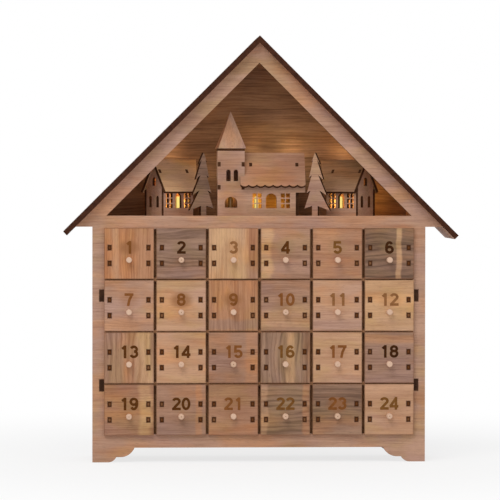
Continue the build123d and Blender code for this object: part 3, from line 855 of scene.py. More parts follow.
@dataclass(frozen=True)
class Plating:
    """A plated metal with fine scratches."""

    name: str
    shade: Shade
    roughness: float
    scratch_axis: Axis
    scratch_along: float = 0.3
    scratch_across: float = 6.0
    scratch_swing: float = 0.3
    stain: Mottle = Mottle(0.4, 3.0)
    stain_middle: float = 0.4
    stain_swing: float = 1.5
    dull_share: float = 0.7
    relief: float = 0.01

    def material(self) -> Material:
        """Return the plating's material."""
        tree = material_tree(self.name)
        place = tree.place()
        stretch = tuple(self.scratch_along if part else self.scratch_across for part in self.scratch_axis)
        scratch = tree.noise(place, Mottle(1.0, FINE_DETAIL, FINE_ROUGH, stretch))
        stain = tree.noise(place, self.stain)
        dull_stain_and_recess_shade = tuple(part * self.dull_share for part in self.shade.value)
        colour = tree.mix(self.shade.value, dull_stain_and_recess_shade, stain.swing(self.stain_swing, self.stain_middle))
        roughness = self.roughness + scratch.swing(self.scratch_swing)
        return tree.surface(colour, roughness, scratch, self.relief, Metallic=1.0)


@dataclass(frozen=True)
class Sleeve:
    """The plain sleeve of a dry cell, bare metal at its ends, in millimetres."""

    name: str
    middle: float
    half_length: float
    body: Colour = (0.2, 0.21, 0.23)
    ring: Colour = (0.62, 0.63, 0.64)
    bare: Colour = (0.72, 0.71, 0.69)
    grime: Colour = (0.02, 0.02, 0.02)
    bare_insets: Span = (1.4, 1.1)
    ring_share: float = 0.8
    ring_span: Span = (0.5, 0.6)
    scuff: Mottle = Mottle(1.0, 3.0, stretch=(0.15, 2.0, 2.0))
    grime_swing: float = 0.5
    roughness: float = 0.32
    scuff_swing: float = 0.25
    relief: float = 0.01

    def material(self) -> Material:
        """Return the sleeve's material."""
        tree = material_tree(self.name)
        place = tree.place()
        away = abs(tree.along(place, X_AXIS) - self.middle)
        scuff = tree.noise(place, self.scuff)
        end = tree.step(away, *(self.half_length - inset for inset in self.bare_insets))
        ring = 1.0 - tree.step(abs(away - self.half_length * self.ring_share), *self.ring_span)
        colour = tree.mix(tree.mix(self.body, self.ring, ring), self.bare, end)
        colour = tree.mix(colour, self.grime, scuff.swing(self.grime_swing))
        roughness = self.roughness + scuff.swing(self.scuff_swing)
        return tree.surface(colour, roughness, scuff, self.relief, Metallic=end)


@dataclass(frozen=True)
class LampResin:
    """Clear warm resin round a lit chip, brightest at its head."""

    name: str
    base_z: float
    head_z: float
    axes: tuple[float, ...]
    glow: float = 0.95
    core: Colour = (1.0, 0.8, 0.22)
    core_reach: Span = (0.5, 2.2)
    rim_share: float = 0.3
    clear: Colour = (0.16, 0.085, 0.03)
    cloudy: Colour = (0.24, 0.14, 0.05)
    haze: Mottle = Mottle(0.9)
    roughness: float = 0.2
    haze_roughness: float = 0.1
    relief: float = 0.02

    def material(self) -> Material:
        """Return the lamp's material."""
        tree = material_tree(self.name)
        place = tree.place()
        head = tree.step(tree.along(place, Z_AXIS), self.base_z, self.head_z)
        across = tree.along(place, X_AXIS)
        away = tree.extreme("MINIMUM", [abs(across - axis) for axis in self.axes])
        head = head * (1.0 - tree.step(away, *self.core_reach))
        haze = tree.noise(place, self.haze)
        colour = tree.mix(self.clear, self.cloudy, haze)
        roughness = self.roughness + haze * self.haze_roughness
        rim = tuple(part * self.rim_share for part in self.core)
        light = tree.mix(rim, self.core, head)
        glow = {"Emission_Color": light, "Emission_Strength": self.glow}
        return tree.surface(colour, roughness, haze, self.relief, **glow)


Finish = Veneer | Moulding | Plating | Sleeve


@dataclass
class Patch:
    """One face of a solid, as the polygons that it was divided into."""

    polygons: list[int]
    normal: Vector
    flat: bool
    width: float
    low: Vector
    high: Vector


FLATNESS = 0.999
WIDTH_TRIES = 16
EDGE_SHARE = 1.25


def least_width(points: list[Vector], edges: list[Vector], normal: Vector) -> float:
    """Return the least width of a flat patch.

    Args:
        points: The patch's points.
        edges: The runs of its edges.
        normal: The direction that it faces.

    Returns:
        The least width between two lines along one of its longest edges.
    """
    widths = []
    for edge in sorted(edges, key=lambda run: run.length, reverse=True)[:WIDTH_TRIES]:
        across = normal.cross(edge).normalized()
        reach = [across.dot(point) for point in points]
        widths.append(max(reach) - min(reach))
    return min(widths)


def find_patches(mesh: Mesh) -> list[Patch]:
    """Group a mesh's polygons by the face of the solid that they came from.

    Args:
        mesh: The mesh of a CAD node.

    Returns:
        The patches, in the order of their first polygon.
    """
    leader = list(range(len(mesh.vertices)))

    def lead(index: int) -> int:
        """Return the first vertex of the group that a vertex is in."""
        while leader[index] != index:
            leader[index] = leader[leader[index]]
            index = leader[index]
        return index

    for polygon in mesh.polygons:
        first = lead(polygon.vertices[0])
        for index in polygon.vertices[1:]:
            leader[lead(index)] = first
    groups: dict[int, list[int]] = {}
    for polygon in mesh.polygons:
        groups.setdefault(lead(polygon.vertices[0]), []).append(polygon.index)
    return [make_patch(mesh, members) for members in groups.values()]


def make_patch(mesh: Mesh, members: list[int]) -> Patch:
    """Measure one patch.

    Args:
        mesh: The mesh of a CAD node.
        members: The numbers of the patch's polygons.

    Returns:
        The patch, with its sizes in metres.
    """
    polygons = [mesh.polygons[index] for index in members]
    corners = {index for polygon in polygons for index in polygon.vertices}
    points = [mesh.vertices[index].co for index in corners]
    normal = sum((polygon.normal * polygon.area for polygon in polygons), Vector()).normalized()
    flat = all(polygon.normal.dot(normal) > FLATNESS for polygon in polygons)
    edges = []
    for polygon in polygons:
        ring = [mesh.vertices[index].co for index in polygon.vertices]
        edges.extend(ring[i] - ring[i - 1] for i in range(len(ring)))
    low = Vector(min(parts) for parts in zip(*points))
    high = Vector(max(parts) for parts in zip(*points))
    width = least_width(points, edges, normal) if flat else 0.0
    return Patch(members, normal, flat, width, low, high)


def dress(node: str, choose: Callable[[Patch], Material]) -> None:
    """Give each face of a node its material.

    Args:
        node: The node's name.
        choose: Returns the material of a patch.
    """
    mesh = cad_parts[node].data
    mesh.materials.clear()
    numbers: dict[str, int] = {}
    for patch in find_patches(mesh):
        material = choose(patch)
        if material.name not in numbers:
            numbers[material.name] = len(numbers)
            mesh.materials.append(material)
        for index in patch.polygons:
            mesh.polygons[index].material_index = numbers[material.name]
    log.info("%s: %d materials", node, len(numbers))


def dress_whole(node: str, finish: Finish) -> None:
    """Give all faces of a node one finish."""
    material = finish.material()
    dress(node, lambda patch: material)


def dress_sheet(node: str, ply: float, face: Material, edge: Material) -> None:
    """Give a plywood node one material on its broad faces and another on its cut edges.

    Args:
        node: The node's name.
        ply: The sheet's thickness in millimetres.
        face: The material of the broad faces.
        edge: The material of the edges.
    """
    dress(node, lambda patch: edge if is_edge(patch, ply) else face)


def is_edge(patch: Patch, ply: float) -> bool:
    """Say whether a patch is a cut edge of a sheet of this thickness."""
    return not patch.flat or patch.width < EDGE_SHARE * ply * MM


def millimetres(vector: Vector) -> Axis:
    """Return a point of the frame in millimetres."""
    return tuple(part * PER_METRE for part in vector)


def middle_of(node: str) -> Vector:
    """Return the middle of a node's box."""
    low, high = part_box(node)
    return (low + high) / 2


def add_piece(name: str, mesh: Mesh, material: Material, body: str) -> None:
    """Add a piece that moves with a body.

    Args:
        name: The piece's name.
        mesh: Its mesh, with its place in its vertices.
        material: Its material.
        body: The body that it rides on.
    """
    mesh.materials.clear()
    mesh.materials.append(material)
    piece = bpy.data.objects.new(name, mesh)
    bpy.context.scene.collection.objects.link(piece)
    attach(piece, body)
    log.info("%s: %d polygons on %s", name, len(mesh.polygons), body)


@dataclass
class Case:
    """The panels, boards, shelves and dividers, in millimetres."""

    panel_ply: float = 5.0
    panel_layers: int = 4
    back_ply: float = 4.0
    crate_ply: float = 3.5
    crate_layers: int = 3
    shelves: int = 3
    side_tabs: Span = (74.0, 160.0)
    side_tab_height: float = 11.2
    smoked_patches: float = 0.4
    smoked_fibre: float = 1.68

    def build(self) -> None:
        """Dress every sheet of the case."""
        low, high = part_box("right_side")
        first, last = self.side_tabs
        self.tab_scorch = Scorch(
            (0.0, 0.0, (first + last) / 2),
            ((low.x + high.x) * PER_METRE / 2, (last - first) / 2),
            (self.panel_ply / 2, self.side_tab_height / 2),
        )
        self.panel_layer = self.panel_ply / self.panel_layers
        self.edge = CutEdge("panel_edge", layer_axis=Y_AXIS, layer=self.panel_layer).material()
        self.dress_front()
        self.dress_back()
        self.dress_sides()
        self.dress_boards()
        self.dress_crate()

    def dress_front(self) -> None:
        """Dress the front panel with a level grain."""
        face = Veneer("front_veneer", WoodTone.PINK_TAN, seed=1.0, scorch=self.tab_scorch)
        dress_sheet("front_panel", self.panel_ply, face.material(), self.edge)

    def dress_back(self) -> None:
        """Dress the back panel: its inside face gets a darker tone as painted shade, its outside a plain one.
        """
        # Painted shade: the inside face is darker than the outside face of the same sheet
        inside = Veneer(
            "back_painted_shade_veneer",
            WoodTone.SMOKED,
            figure=Figure.STRAIGHT,
            seed=3.0,
            patches=self.smoked_patches,
            fibre_swing=self.smoked_fibre,
        ).material()
        outside = Veneer(
            "back_outside_veneer",
            WoodTone.PINK_BROWN,
            figure=Figure.STRAIGHT,
            seed=4.0,
            scorch=self.tab_scorch,
        ).material()

        def choose(patch: Patch) -> Material:
            """Tell the edges, the inside with its painted shade, and the outside apart."""
            if is_edge(patch, self.back_ply):
                return self.edge
            return inside if patch.normal.y < 0.0 else outside

        dress("back_panel", choose)

    def dress_sides(self) -> None:
        """Dress the sides, whose tab ends show burnt in the front and the back."""
        face = Veneer("side_veneer", WoodTone.PINK_TAN, SIDE_UPRIGHT, Figure.ARCHED, seed=5.0).material()
        edge = CutEdge("side_edge", layer_axis=X_AXIS, layer=self.panel_layer).material()
        tab = CutEdge("side_tab_end", EdgeTone.SIDE_TAB).material()

        def choose(patch: Patch) -> Material:
            """Tell the faces, the tab ends and the edges apart."""
            if not is_edge(patch, self.panel_ply):
                return face
            return tab if abs(patch.normal.y) > FLATNESS else edge

        for node in ("left_side", "right_side"):
            dress(node, choose)

    def dress_boards(self) -> None:
        """Dress the boards under and over the drawers and the village floor's battens."""
        face = Veneer("board_veneer", WoodTone.PINK_BROWN, FLAT_LEVEL, seed=6.0).material()
        edge = CutEdge("board_edge", layer_axis=Z_AXIS, layer=self.panel_layer).material()
        for node in ("bottom_board", "top_board"):
            dress_sheet(node, self.panel_ply, face, edge)
        batten = Veneer("batten_wood", WoodTone.YELLOW_TAN, FLAT_LEVEL, Figure.STRAIGHT, seed=7.0)
        dress_whole("floor_bearers", batten)

    def dress_crate(self) -> None:
        """Dress the shelves and the dividers."""
        layer = self.crate_ply / self.crate_layers
        face = Veneer("shelf_veneer", WoodTone.PINK_BROWN, FLAT_LEVEL, seed=8.0).material()
        # Painted light: the shelf and divider edges are lightened for the seams between the drawers
        edge = CutEdge("shelf_edge_painted_light", EdgeTone.SHELF, Z_AXIS, layer).material()
        for number in range(1, self.shelves + 1):
            dress_sheet(f"shelf_{number}", self.crate_ply, face, edge)
        face = Veneer("divider_veneer", WoodTone.PINK_BROWN, SIDE_DEEP, seed=9.0).material()
        edge = CutEdge("divider_edge_painted_light", EdgeTone.DIVIDER, X_AXIS, layer).material()
        dress_sheet("dividers", self.crate_ply, face, edge)


@dataclass
class Roof:
    """The two roof boards, which slope by 45 degrees."""

    ply: float = 5.0
    stain_patches: float = 0.3
    stain_gloss: float = 0.03
    stain_seed: float = 11.0
    underside_seed: float = 15.0

    def build(self) -> None:
        """Dress both boards."""
        edge = CutEdge("roof_edge", EdgeTone.ROOF).material()
        for node, side in (("left_roof", -1.0), ("right_roof", 1.0)):
            self.dress_board(node, side, edge)

    def dress_board(self, node: str, side: float, edge: Material) -> None:
        """Dress one board.

        Args:
            node: The board's node.
            side: -1 for the left one, 1 for the right one.
            edge: The material of the cut edges.
        """
        diagonal = math.sqrt(HALF)
        grain = Grain((side * diagonal, 0.0, -diagonal), Y_AXIS)
        top = Veneer(
            f"{node}_stain",
            WoodTone.STAINED,
            grain,
            Figure.ARCHED,
            self.stain_seed + side,
            patches=self.stain_patches,
            gloss=self.stain_gloss,
        ).material()
        seed = self.underside_seed + side
        under = Veneer(f"{node}_underside", WoodTone.PINK_TAN, grain, seed=seed).material()

        def choose(patch: Patch) -> Material:
            """Tell the edges, the stained top and the bare underside apart."""
            if is_edge(patch, self.ply):
                return edge
            return top if patch.normal.z > 0.0 else under

        dress(node, choose)


@dataclass(frozen=True)
class Front:
    """The looks of one drawer's front."""

    tone: WoodTone
    grain: Grain
    figure: Figure
    burn: Burn
    bands: tuple[Band, ...]


def front(tone: WoodTone, grain: Grain, figure: Figure, burn: Burn, *bands: Band) -> Front:
    """Return the looks of one drawer's front, with any stripes."""
    return Front(tone, grain, figure, burn, bands)


def upright(middle: float, half_width: float, tone: WoodTone, strength: float = BAND_STRENGTH) -> Band:
    """Return a stripe that stands on a drawer's front."""
    return Band(X_AXIS, middle, half_width, tone, strength)


def level(middle: float, half_width: float, tone: WoodTone, strength: float = BAND_STRENGTH) -> Band:
    """Return a stripe that lies across a drawer's front."""
    return Band(Z_AXIS, middle, half_width, tone, strength)


FRONTS = (
    front(WoodTone.WARM_TAN, UPRIGHT, Figure.STRAIGHT, Burn.BLURRED, upright(-13.0, 3.0, WoodTone.PALE_TAN)),
    front(WoodTone.GREY_BROWN, LEVEL, Figure.WAVY, Burn.BLACK, level(-17.0, 6.0, WoodTone.LILAC_GREY)),
    front(WoodTone.YELLOW_TAN, UPRIGHT, Figure.LINED, Burn.FAINT, upright(20.0, 6.0, WoodTone.RED_BROWN)),
    front(WoodTone.PINK_BROWN, LEVEL, Figure.LINED, Burn.BROWN, upright(-19.0, 6.0, WoodTone.YELLOW_TAN)),
    front(WoodTone.RED_BROWN, LEVEL, Figure.LINED, Burn.OLIVE, upright(-14.0, 12.0, WoodTone.WARM_TAN)),
    front(WoodTone.DARK_BROWN, LEVEL, Figure.WAVY, Burn.BLACK, upright(9.0, 2.6, WoodTone.YELLOW_TAN)),
    front(WoodTone.PINK_TAN, LEVEL, Figure.LINED, Burn.RUST),
    front(WoodTone.PALE_TAN, LEVEL, Figure.PLAIN, Burn.BLURRED),
    front(WoodTone.WARM_TAN, UPRIGHT, Figure.STRAIGHT, Burn.BLURRED, level(-18.0, 5.0, WoodTone.LILAC_GREY)),
    front(WoodTone.PINK_BROWN, LEVEL, Figure.STRAIGHT, Burn.RUST, level(-12.0, 9.0, WoodTone.PALE_TAN)),
    front(WoodTone.PALE_TAN, LEVEL, Figure.PLAIN, Burn.FAINT, level(-19.0, 5.0, WoodTone.PINK_TAN)),
    front(WoodTone.YELLOW_TAN, LEVEL, Figure.PLAIN, Burn.FAINT),
    front(
        WoodTone.PINK_BROWN,
        UPRIGHT,
        Figure.WAVY,
        Burn.BROWN,
        upright(0.0, 7.0, WoodTone.WARM_TAN),
        upright(14.0, 7.0, WoodTone.YELLOW_TAN),
    ),
    front(WoodTone.PALE_TAN, LEVEL, Figure.PLAIN, Burn.BROWN),
    front(WoodTone.PINK_BROWN, LEVEL, Figure.LINED, Burn.RUST, upright(18.0, 6.0, WoodTone.WARM_TAN)),
    front(WoodTone.GREY_BROWN, UPRIGHT, Figure.WAVY, Burn.OLIVE, upright(4.0, 4.0, WoodTone.PALE_TAN)),
    front(WoodTone.PALE_TAN, LEVEL, Figure.PLAIN, Burn.RUST),
    front(WoodTone.LILAC_GREY, LEVEL, Figure.LINED, Burn.BLACK, level(18.0, 5.0, WoodTone.WARM_TAN)),
    front(WoodTone.RED_BROWN, LEVEL, Figure.LINED, Burn.BROWN, upright(16.0, 6.0, WoodTone.YELLOW_TAN)),
    front(
        WoodTone.PINK_BROWN,
        LEVEL,
        Figure.PLAIN,
        Burn.BROWN,
        level(-17.0, 7.0, WoodTone.LILAC_GREY),
        upright(17.0, 3.0, WoodTone.WARM_TAN),
    ),
    front(WoodTone.RED_BROWN, LEVEL, Figure.PLAIN, Burn.RUST),
    front(
        WoodTone.GREY_BROWN,
        LEVEL,
        Figure.ARCHED,
        Burn.OLIVE,
        level(0.0, 18.0, WoodTone.DARK_BROWN, 0.22),
        upright(-21.0, 4.0, WoodTone.PINK_TAN),
        upright(20.0, 3.5, WoodTone.WARM_TAN),
    ),
    front(
        WoodTone.GREY_BROWN,
        LEVEL,
        Figure.STRAIGHT,
        Burn.BLURRED,
        level(3.0, 20.0, WoodTone.DARK_BROWN),
        level(-16.0, 6.0, WoodTone.LILAC_GREY, 0.5),
    ),
    front(WoodTone.PALE_TAN, LEVEL, Figure.PLAIN, Burn.OLIVE),
)

ARC_STEPS = 14
PLATE_CORNERS = 4


@dataclass(frozen=True)
class Stroke:
    """The centre line of one stroke of a digit, in millimetres."""

    points: list[Point]
    closed: bool = False

    def sides(self, half: float) -> list[Vector]:
        """Return the way from each point of the line to the stroke's left edge.

        Args:
            half: Half of the stroke's width.

        Returns:
            One offset for each point.
        """
        count = len(self.points)
        result = []
        for index in range(count):
            before = index - 1 if index or self.closed else index
            after = (index + 1) % count if index < count - 1 or self.closed else index
            runs = [
                (Vector(self.points[b]) - Vector(self.points[a])).normalized()
                for a, b in ((before, index), (index, after))
                if a != b
            ]
            way = sum(runs, Vector((0.0, 0.0))).normalized()
            result.append(Vector((-way.y, way.x)) * (half / way.dot(runs[0])))
        return result

    def mesh(self, half: float, relief: float) -> Mesh:
        """Return the stroke as a thin closed plate that faces the front.

        Args:
            half: Half of the stroke's width.
            relief: Half of the plate's thickness.

        Returns:
            The mesh, in metres.
        """
        corners = []
        for point, side in zip(self.points, self.sides(half)):
            for share, depth in ((1.0, -relief), (-1.0, -relief), (-1.0, relief), (1.0, relief)):
                spot = Vector(point) + side * share
                corners.append((spot.x * MM, depth * MM, spot.y * MM))
        count = len(self.points)
        quad = range(PLATE_CORNERS)
        faces = []
        for index in range(count if self.closed else count - 1):
            near = PLATE_CORNERS * index
            far = PLATE_CORNERS * ((index + 1) % count)
            for i in quad:
                after = (i + 1) % PLATE_CORNERS
                faces.append((near + i, near + after, far + after, far + i))
        if not self.closed:
            faces.append(tuple(reversed(quad)))
            faces.append(tuple(PLATE_CORNERS * (count - 1) + i for i in quad))
        mesh = bpy.data.meshes.new("stroke")
        mesh.from_pydata(corners, [], faces)
        return mesh


@dataclass(frozen=True)
class Bow:
    """A round form of a digit: the middle, half width and half height of an ellipse, in millimetres."""

    middle: Point
    radii: Point

    def arc(self, turn: Span, steps: int = ARC_STEPS) -> list[Point]:
        """Return points along part of the ellipse.

        Args:
            turn: Where the arc starts and ends, in degrees from the right.
            steps: How many runs it is divided into.

        Returns:
            The points, from the start to the end.
        """
        start, end = turn
        turns = [math.radians(start + (end - start) * step / steps) for step in range(steps + 1)]
        (x, z), (width, height) = self.middle, self.radii
        return [(x + width * math.cos(angle), z + height * math.sin(angle)) for angle in turns]

    def ring(self, steps: int = ARC_STEPS) -> Stroke:
        """Return the whole ellipse as a closed stroke."""
        return Stroke(self.arc((0.0, FULL_TURN), steps)[:-1], True)


@dataclass
class Figures:
    """The plain digits that the numbers are made of, in millimetres and degrees."""

    width: float = 8.5
    height: float = 12.2
    weight: float = 2.5
    advance: float = 9.3
    relief: float = 0.05
    bowl_radius: float = 2.75
    crown_radius: float = 2.45
    crown_inset: float = 0.25
    whole_steps: int = 28
    joint_drop: float = 1.0
    one_stem_shift: float = 0.9
    one_flag: Point = (2.8, 3.3)
    two_sweep: Span = (165.0, -30.0)
    two_heel: Point = (1.4, 1.4)
    two_base_start: float = 0.2
    three_crown: Span = (160.0, -85.0)
    three_bowl: Span = (85.0, -160.0)
    four_post_inset: float = 2.3
    four_bar_rise: float = 3.3
    four_slope_start: float = 0.8
    five_radius: float = 2.85
    five_bowl: Span = (140.0, -160.0)
    five_back_top: float = 1.75
    five_back_foot: Point = (1.35, 5.1)
    five_bar_start: float = 1.2
    five_bar_overhang: float = 0.4
    six_back: Span = (205.0, 40.0)
    seven_corner_inset: float = 0.2
    seven_knee_shift: float = 0.3
    seven_knee_rise: float = 5.6
    seven_foot_shift: float = 0.9
    eight_radius: float = 2.3
    eight_inset: float = 0.3
    made: dict[int, Mesh] = field(default_factory=dict)

    def __post_init__(self) -> None:
        """Work out the centre lines that the digits share."""
        self.low = self.weight / 2
        self.right = self.width - self.low
        self.high = self.height - self.low
        self.middle = self.width / 2
        self.round_side = self.middle - self.low
        self.bowl = self.lower_bow(self.bowl_radius)
        self.whole = Bow((self.middle, self.height / 2), (self.round_side, self.high - self.height / 2))

    def lower_bow(self, radius: float) -> Bow:
        """Return the round form of a digit's lower half."""
        return Bow((self.middle, self.low + self.bowl_radius), (self.round_side, radius))

    def upper_bow(self, radius: float, inset: float = 0.0) -> Bow:
        """Return the round form of a digit's upper half."""
        return Bow((self.middle, self.high - radius), (self.round_side - inset, radius))

    def bar(self, start: float, end: float, rise: float) -> Stroke:
        """Return a level stroke."""
        return Stroke([(start, rise), (end, rise)])

    def post(self, x: float) -> Stroke:
        """Return an upright stroke of the digit's whole height."""
        return Stroke([(x, 0.0), (x, self.height)])

    def zero(self) -> list[Stroke]:
        """Return one tall ring."""
        return [self.whole.ring(self.whole_steps)]

    def one(self) -> list[Stroke]:
        """Return a stem with a flag."""
        stem = self.middle + self.one_stem_shift
        reach, drop = self.one_flag
        flag = [(stem - reach, self.height - drop), (stem, self.height - self.joint_drop)]
        return [self.post(stem), Stroke(flag)]

    def two(self) -> list[Stroke]:
        """Return a sweep down to a base."""
        sweep = [*self.upper_bow(self.crown_radius).arc(self.two_sweep), self.two_heel]
        return [Stroke(sweep), self.bar(self.two_base_start, self.width, self.low)]

    def three(self) -> list[Stroke]:
        """Return an open crown over an open bowl."""
        crown = self.upper_bow(self.crown_radius, self.crown_inset)
        return [Stroke(crown.arc(self.three_crown)), Stroke(self.bowl.arc(self.three_bowl))]

    def four(self) -> list[Stroke]:
        """Return a post, a slope and a bar."""
        post = self.width - self.four_post_inset
        slope = [(self.four_slope_start, self.four_bar_rise), (post, self.height - self.joint_drop)]
        return [self.post(post), Stroke(slope), self.bar(0.0, self.width, self.four_bar_rise)]

    def five(self) -> list[Stroke]:
        """Return an open bowl, a back and a bar."""
        belly = self.lower_bow(self.five_radius).arc(self.five_bowl)
        back = [(self.five_back_top, self.height), self.five_back_foot]
        bar = self.bar(self.five_bar_start, self.right + self.five_bar_overhang, self.high)
        return [Stroke(belly), Stroke(back), bar]

    def six(self) -> list[Stroke]:
        """Return a ring with a long back."""
        return [self.bowl.ring(), Stroke(self.whole.arc(self.six_back))]

    def seven(self) -> list[Stroke]:
        """Return a bar with a bent leg."""
        leg = [
            (self.right - self.seven_corner_inset, self.high),
            (self.middle + self.seven_knee_shift, self.seven_knee_rise),
            (self.middle - self.seven_foot_shift, 0.0),
        ]
        return [self.bar(0.0, self.width, self.high), Stroke(leg)]

    def eight(self) -> list[Stroke]:
        """Return two rings."""
        return [self.bowl.ring(), self.upper_bow(self.eight_radius, self.eight_inset).ring()]

    def nine(self) -> list[Stroke]:
        """Return a six, turned by half a turn."""
        turned = []
        for stroke in self.six():
            points = [(self.width - x, self.height - z) for x, z in stroke.points]
            turned.append(Stroke(points, stroke.closed))
        return turned

    def digit(self, digit: int) -> Mesh:
        """Return the plate of a digit, its strokes joined to one solid."""
        lower = (self.zero, self.one, self.two, self.three, self.four)
        upper = (self.five, self.six, self.seven, self.eight, self.nine)
        if digit not in self.made:
            self.made[digit] = self.join((*lower, *upper)[digit]())
        return self.made[digit]

    def join(self, strokes: list[Stroke]) -> Mesh:
        """Return the union of several strokes."""
        holders = []
        for stroke in strokes:
            holder = bpy.data.objects.new("stroke", stroke.mesh(self.weight / 2, self.relief))
            bpy.context.scene.collection.objects.link(holder)
            holders.append(holder)
        for holder in holders[1:]:
            union = holders[0].modifiers.new("union", "BOOLEAN")
            union.operation = "UNION"
            union.solver = "EXACT"
            union.object = holder
        bpy.context.view_layer.update()
        graph = bpy.context.evaluated_depsgraph_get()
        mesh = bpy.data.meshes.new_from_object(holders[0].evaluated_get(graph))
        for holder in holders:
            plain = holder.data
            bpy.data.objects.remove(holder)
            bpy.data.meshes.remove(plain)
        return mesh

    def number(self, number: int) -> Mesh:
        """Return a number as thin plates about the origin, facing the front.

        Args:
            number: The number to write.

        Returns:
            The new mesh, in metres.
        """
        digits = [int(letter) for letter in str(number)]
        span = self.advance * (len(digits) - 1) + self.width
        plates = bmesh.new()
        for place, digit in enumerate(digits):
            plate = self.digit(digit).copy()
            start = Vector((place * self.advance - span / 2, 0.0, -self.height / 2)) * MM
            plate.transform(Matrix.Translation(start))
            plates.from_mesh(plate)
            bpy.data.meshes.remove(plate)
        bmesh.ops.recalc_face_normals(plates, faces=plates.faces)
        mesh = bpy.data.meshes.new(f"number_{number:02d}")
        plates.to_mesh(mesh)
        plates.free()
        return mesh


@dataclass
class DrawerBank:
    """The drawers, with their burnt numbers, tabs and knobs, in millimetres."""

    ply: float = 3.5
    tab_height: float = 4.8
    tab_spacing: float = 15.0
    box_width: float = 40.6
    box_middle_drop: float = 1.95
    knob_reach: float = 7.0
    knob_drop: float = 6.2
    number_rise: float = 5.8
    number_haze: Point = (11.0, 8.5)
    face_slack: float = 0.35
    first_seed: float = 20.0
    figures: Figures = field(default_factory=Figures)
    burns: dict[Burn, Material] = field(default_factory=dict)

    def build(self) -> None:
        """Dress the drawers and add their numbers."""
        first = middle_of("drawer_01")
        pitch = (middle_of("drawer_02").x - first.x) * PER_METRE
        low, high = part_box("drawer_01")
        self.half_front = ((high.x - low.x) * PER_METRE / 2, (high.z - low.z) * PER_METRE / 2)
        self.face_y = low.y * PER_METRE + self.knob_reach
        self.tab_offset = (self.box_width / 2 - self.ply / 2, self.tab_spacing / 2)
        self.tab_half = (self.ply / 2, self.tab_height / 2)
        x, z = first.x * PER_METRE, first.z * PER_METRE
        knobs = Grid(pitch, (x, z - self.knob_drop))
        tabs = Grid(pitch, (x, z - self.box_middle_drop))
        self.knob = Dowel("knob_wood", knobs).material()
        self.tab = TabEnd("drawer_tab_end", tabs, self.tab_offset, self.tab_half).material()
        self.box = Veneer("drawer_box_veneer", WoodTone.PALE_TAN, SIDE_DEEP, seed=13.0).material()
        # Painted light: the drawer edges are lightened for the seams between the drawers
        self.edge = CutEdge("drawer_edge", EdgeTone.DRAWER).material()
        for number, looks in enumerate(FRONTS, 1):
            self.dress_drawer(number, looks)
            self.add_number(number, looks.burn)

    def dress_drawer(self, number: int, looks: Front) -> None:
        """Dress one drawer.

        Args:
            number: The drawer's number.
            looks: The looks of its front.
        """
        node = f"drawer_{number:02d}"
        heart = millimetres(middle_of(node))
        x, y, z = heart
        burn = looks.burn
        veneer = Veneer(
            f"{node}_veneer",
            looks.tone,
            looks.grain,
            looks.figure,
            self.first_seed + number,
            heart,
            looks.bands,
            Rim(heart, self.half_front),
            Scorch((x, y, z - self.box_middle_drop), self.tab_offset, self.tab_half),
            Smudge((x, y, z + self.number_rise), self.number_haze, burn.haze.value, burn.strength),
        ).material()
        outermost = (self.face_y - self.face_slack) * MM
        innermost = (self.face_y + self.face_slack) * MM

        def choose(patch: Patch) -> Material:
            """Tell the knob, the tab ends, the edges, the front face and the box apart."""
            if patch.low.y < outermost:
                return self.knob
            on_face = patch.normal.y < -FLATNESS and patch.high.y < innermost
            if is_edge(patch, self.ply) and abs(patch.normal.z) < FLATNESS:
                return self.tab if on_face else self.edge
            return veneer if on_face else self.box

        dress(node, choose)

    def add_number(self, number: int, burn: Burn) -> None:
        """Burn a number into a drawer's front.

        Args:
            number: The drawer's number.
            burn: How strongly it is burnt in.
        """
        node = f"drawer_{number:02d}"
        if burn not in self.burns:
            self.burns[burn] = BurntNumber(burn).material()
        mesh = self.figures.number(number)
        middle = middle_of(node)
        place = Vector((middle.x, self.face_y * MM, middle.z + self.number_rise * MM))
        mesh.transform(Matrix.Translation(place))
        add_piece(f"number_{number:02d}", mesh, self.burns[burn], node)


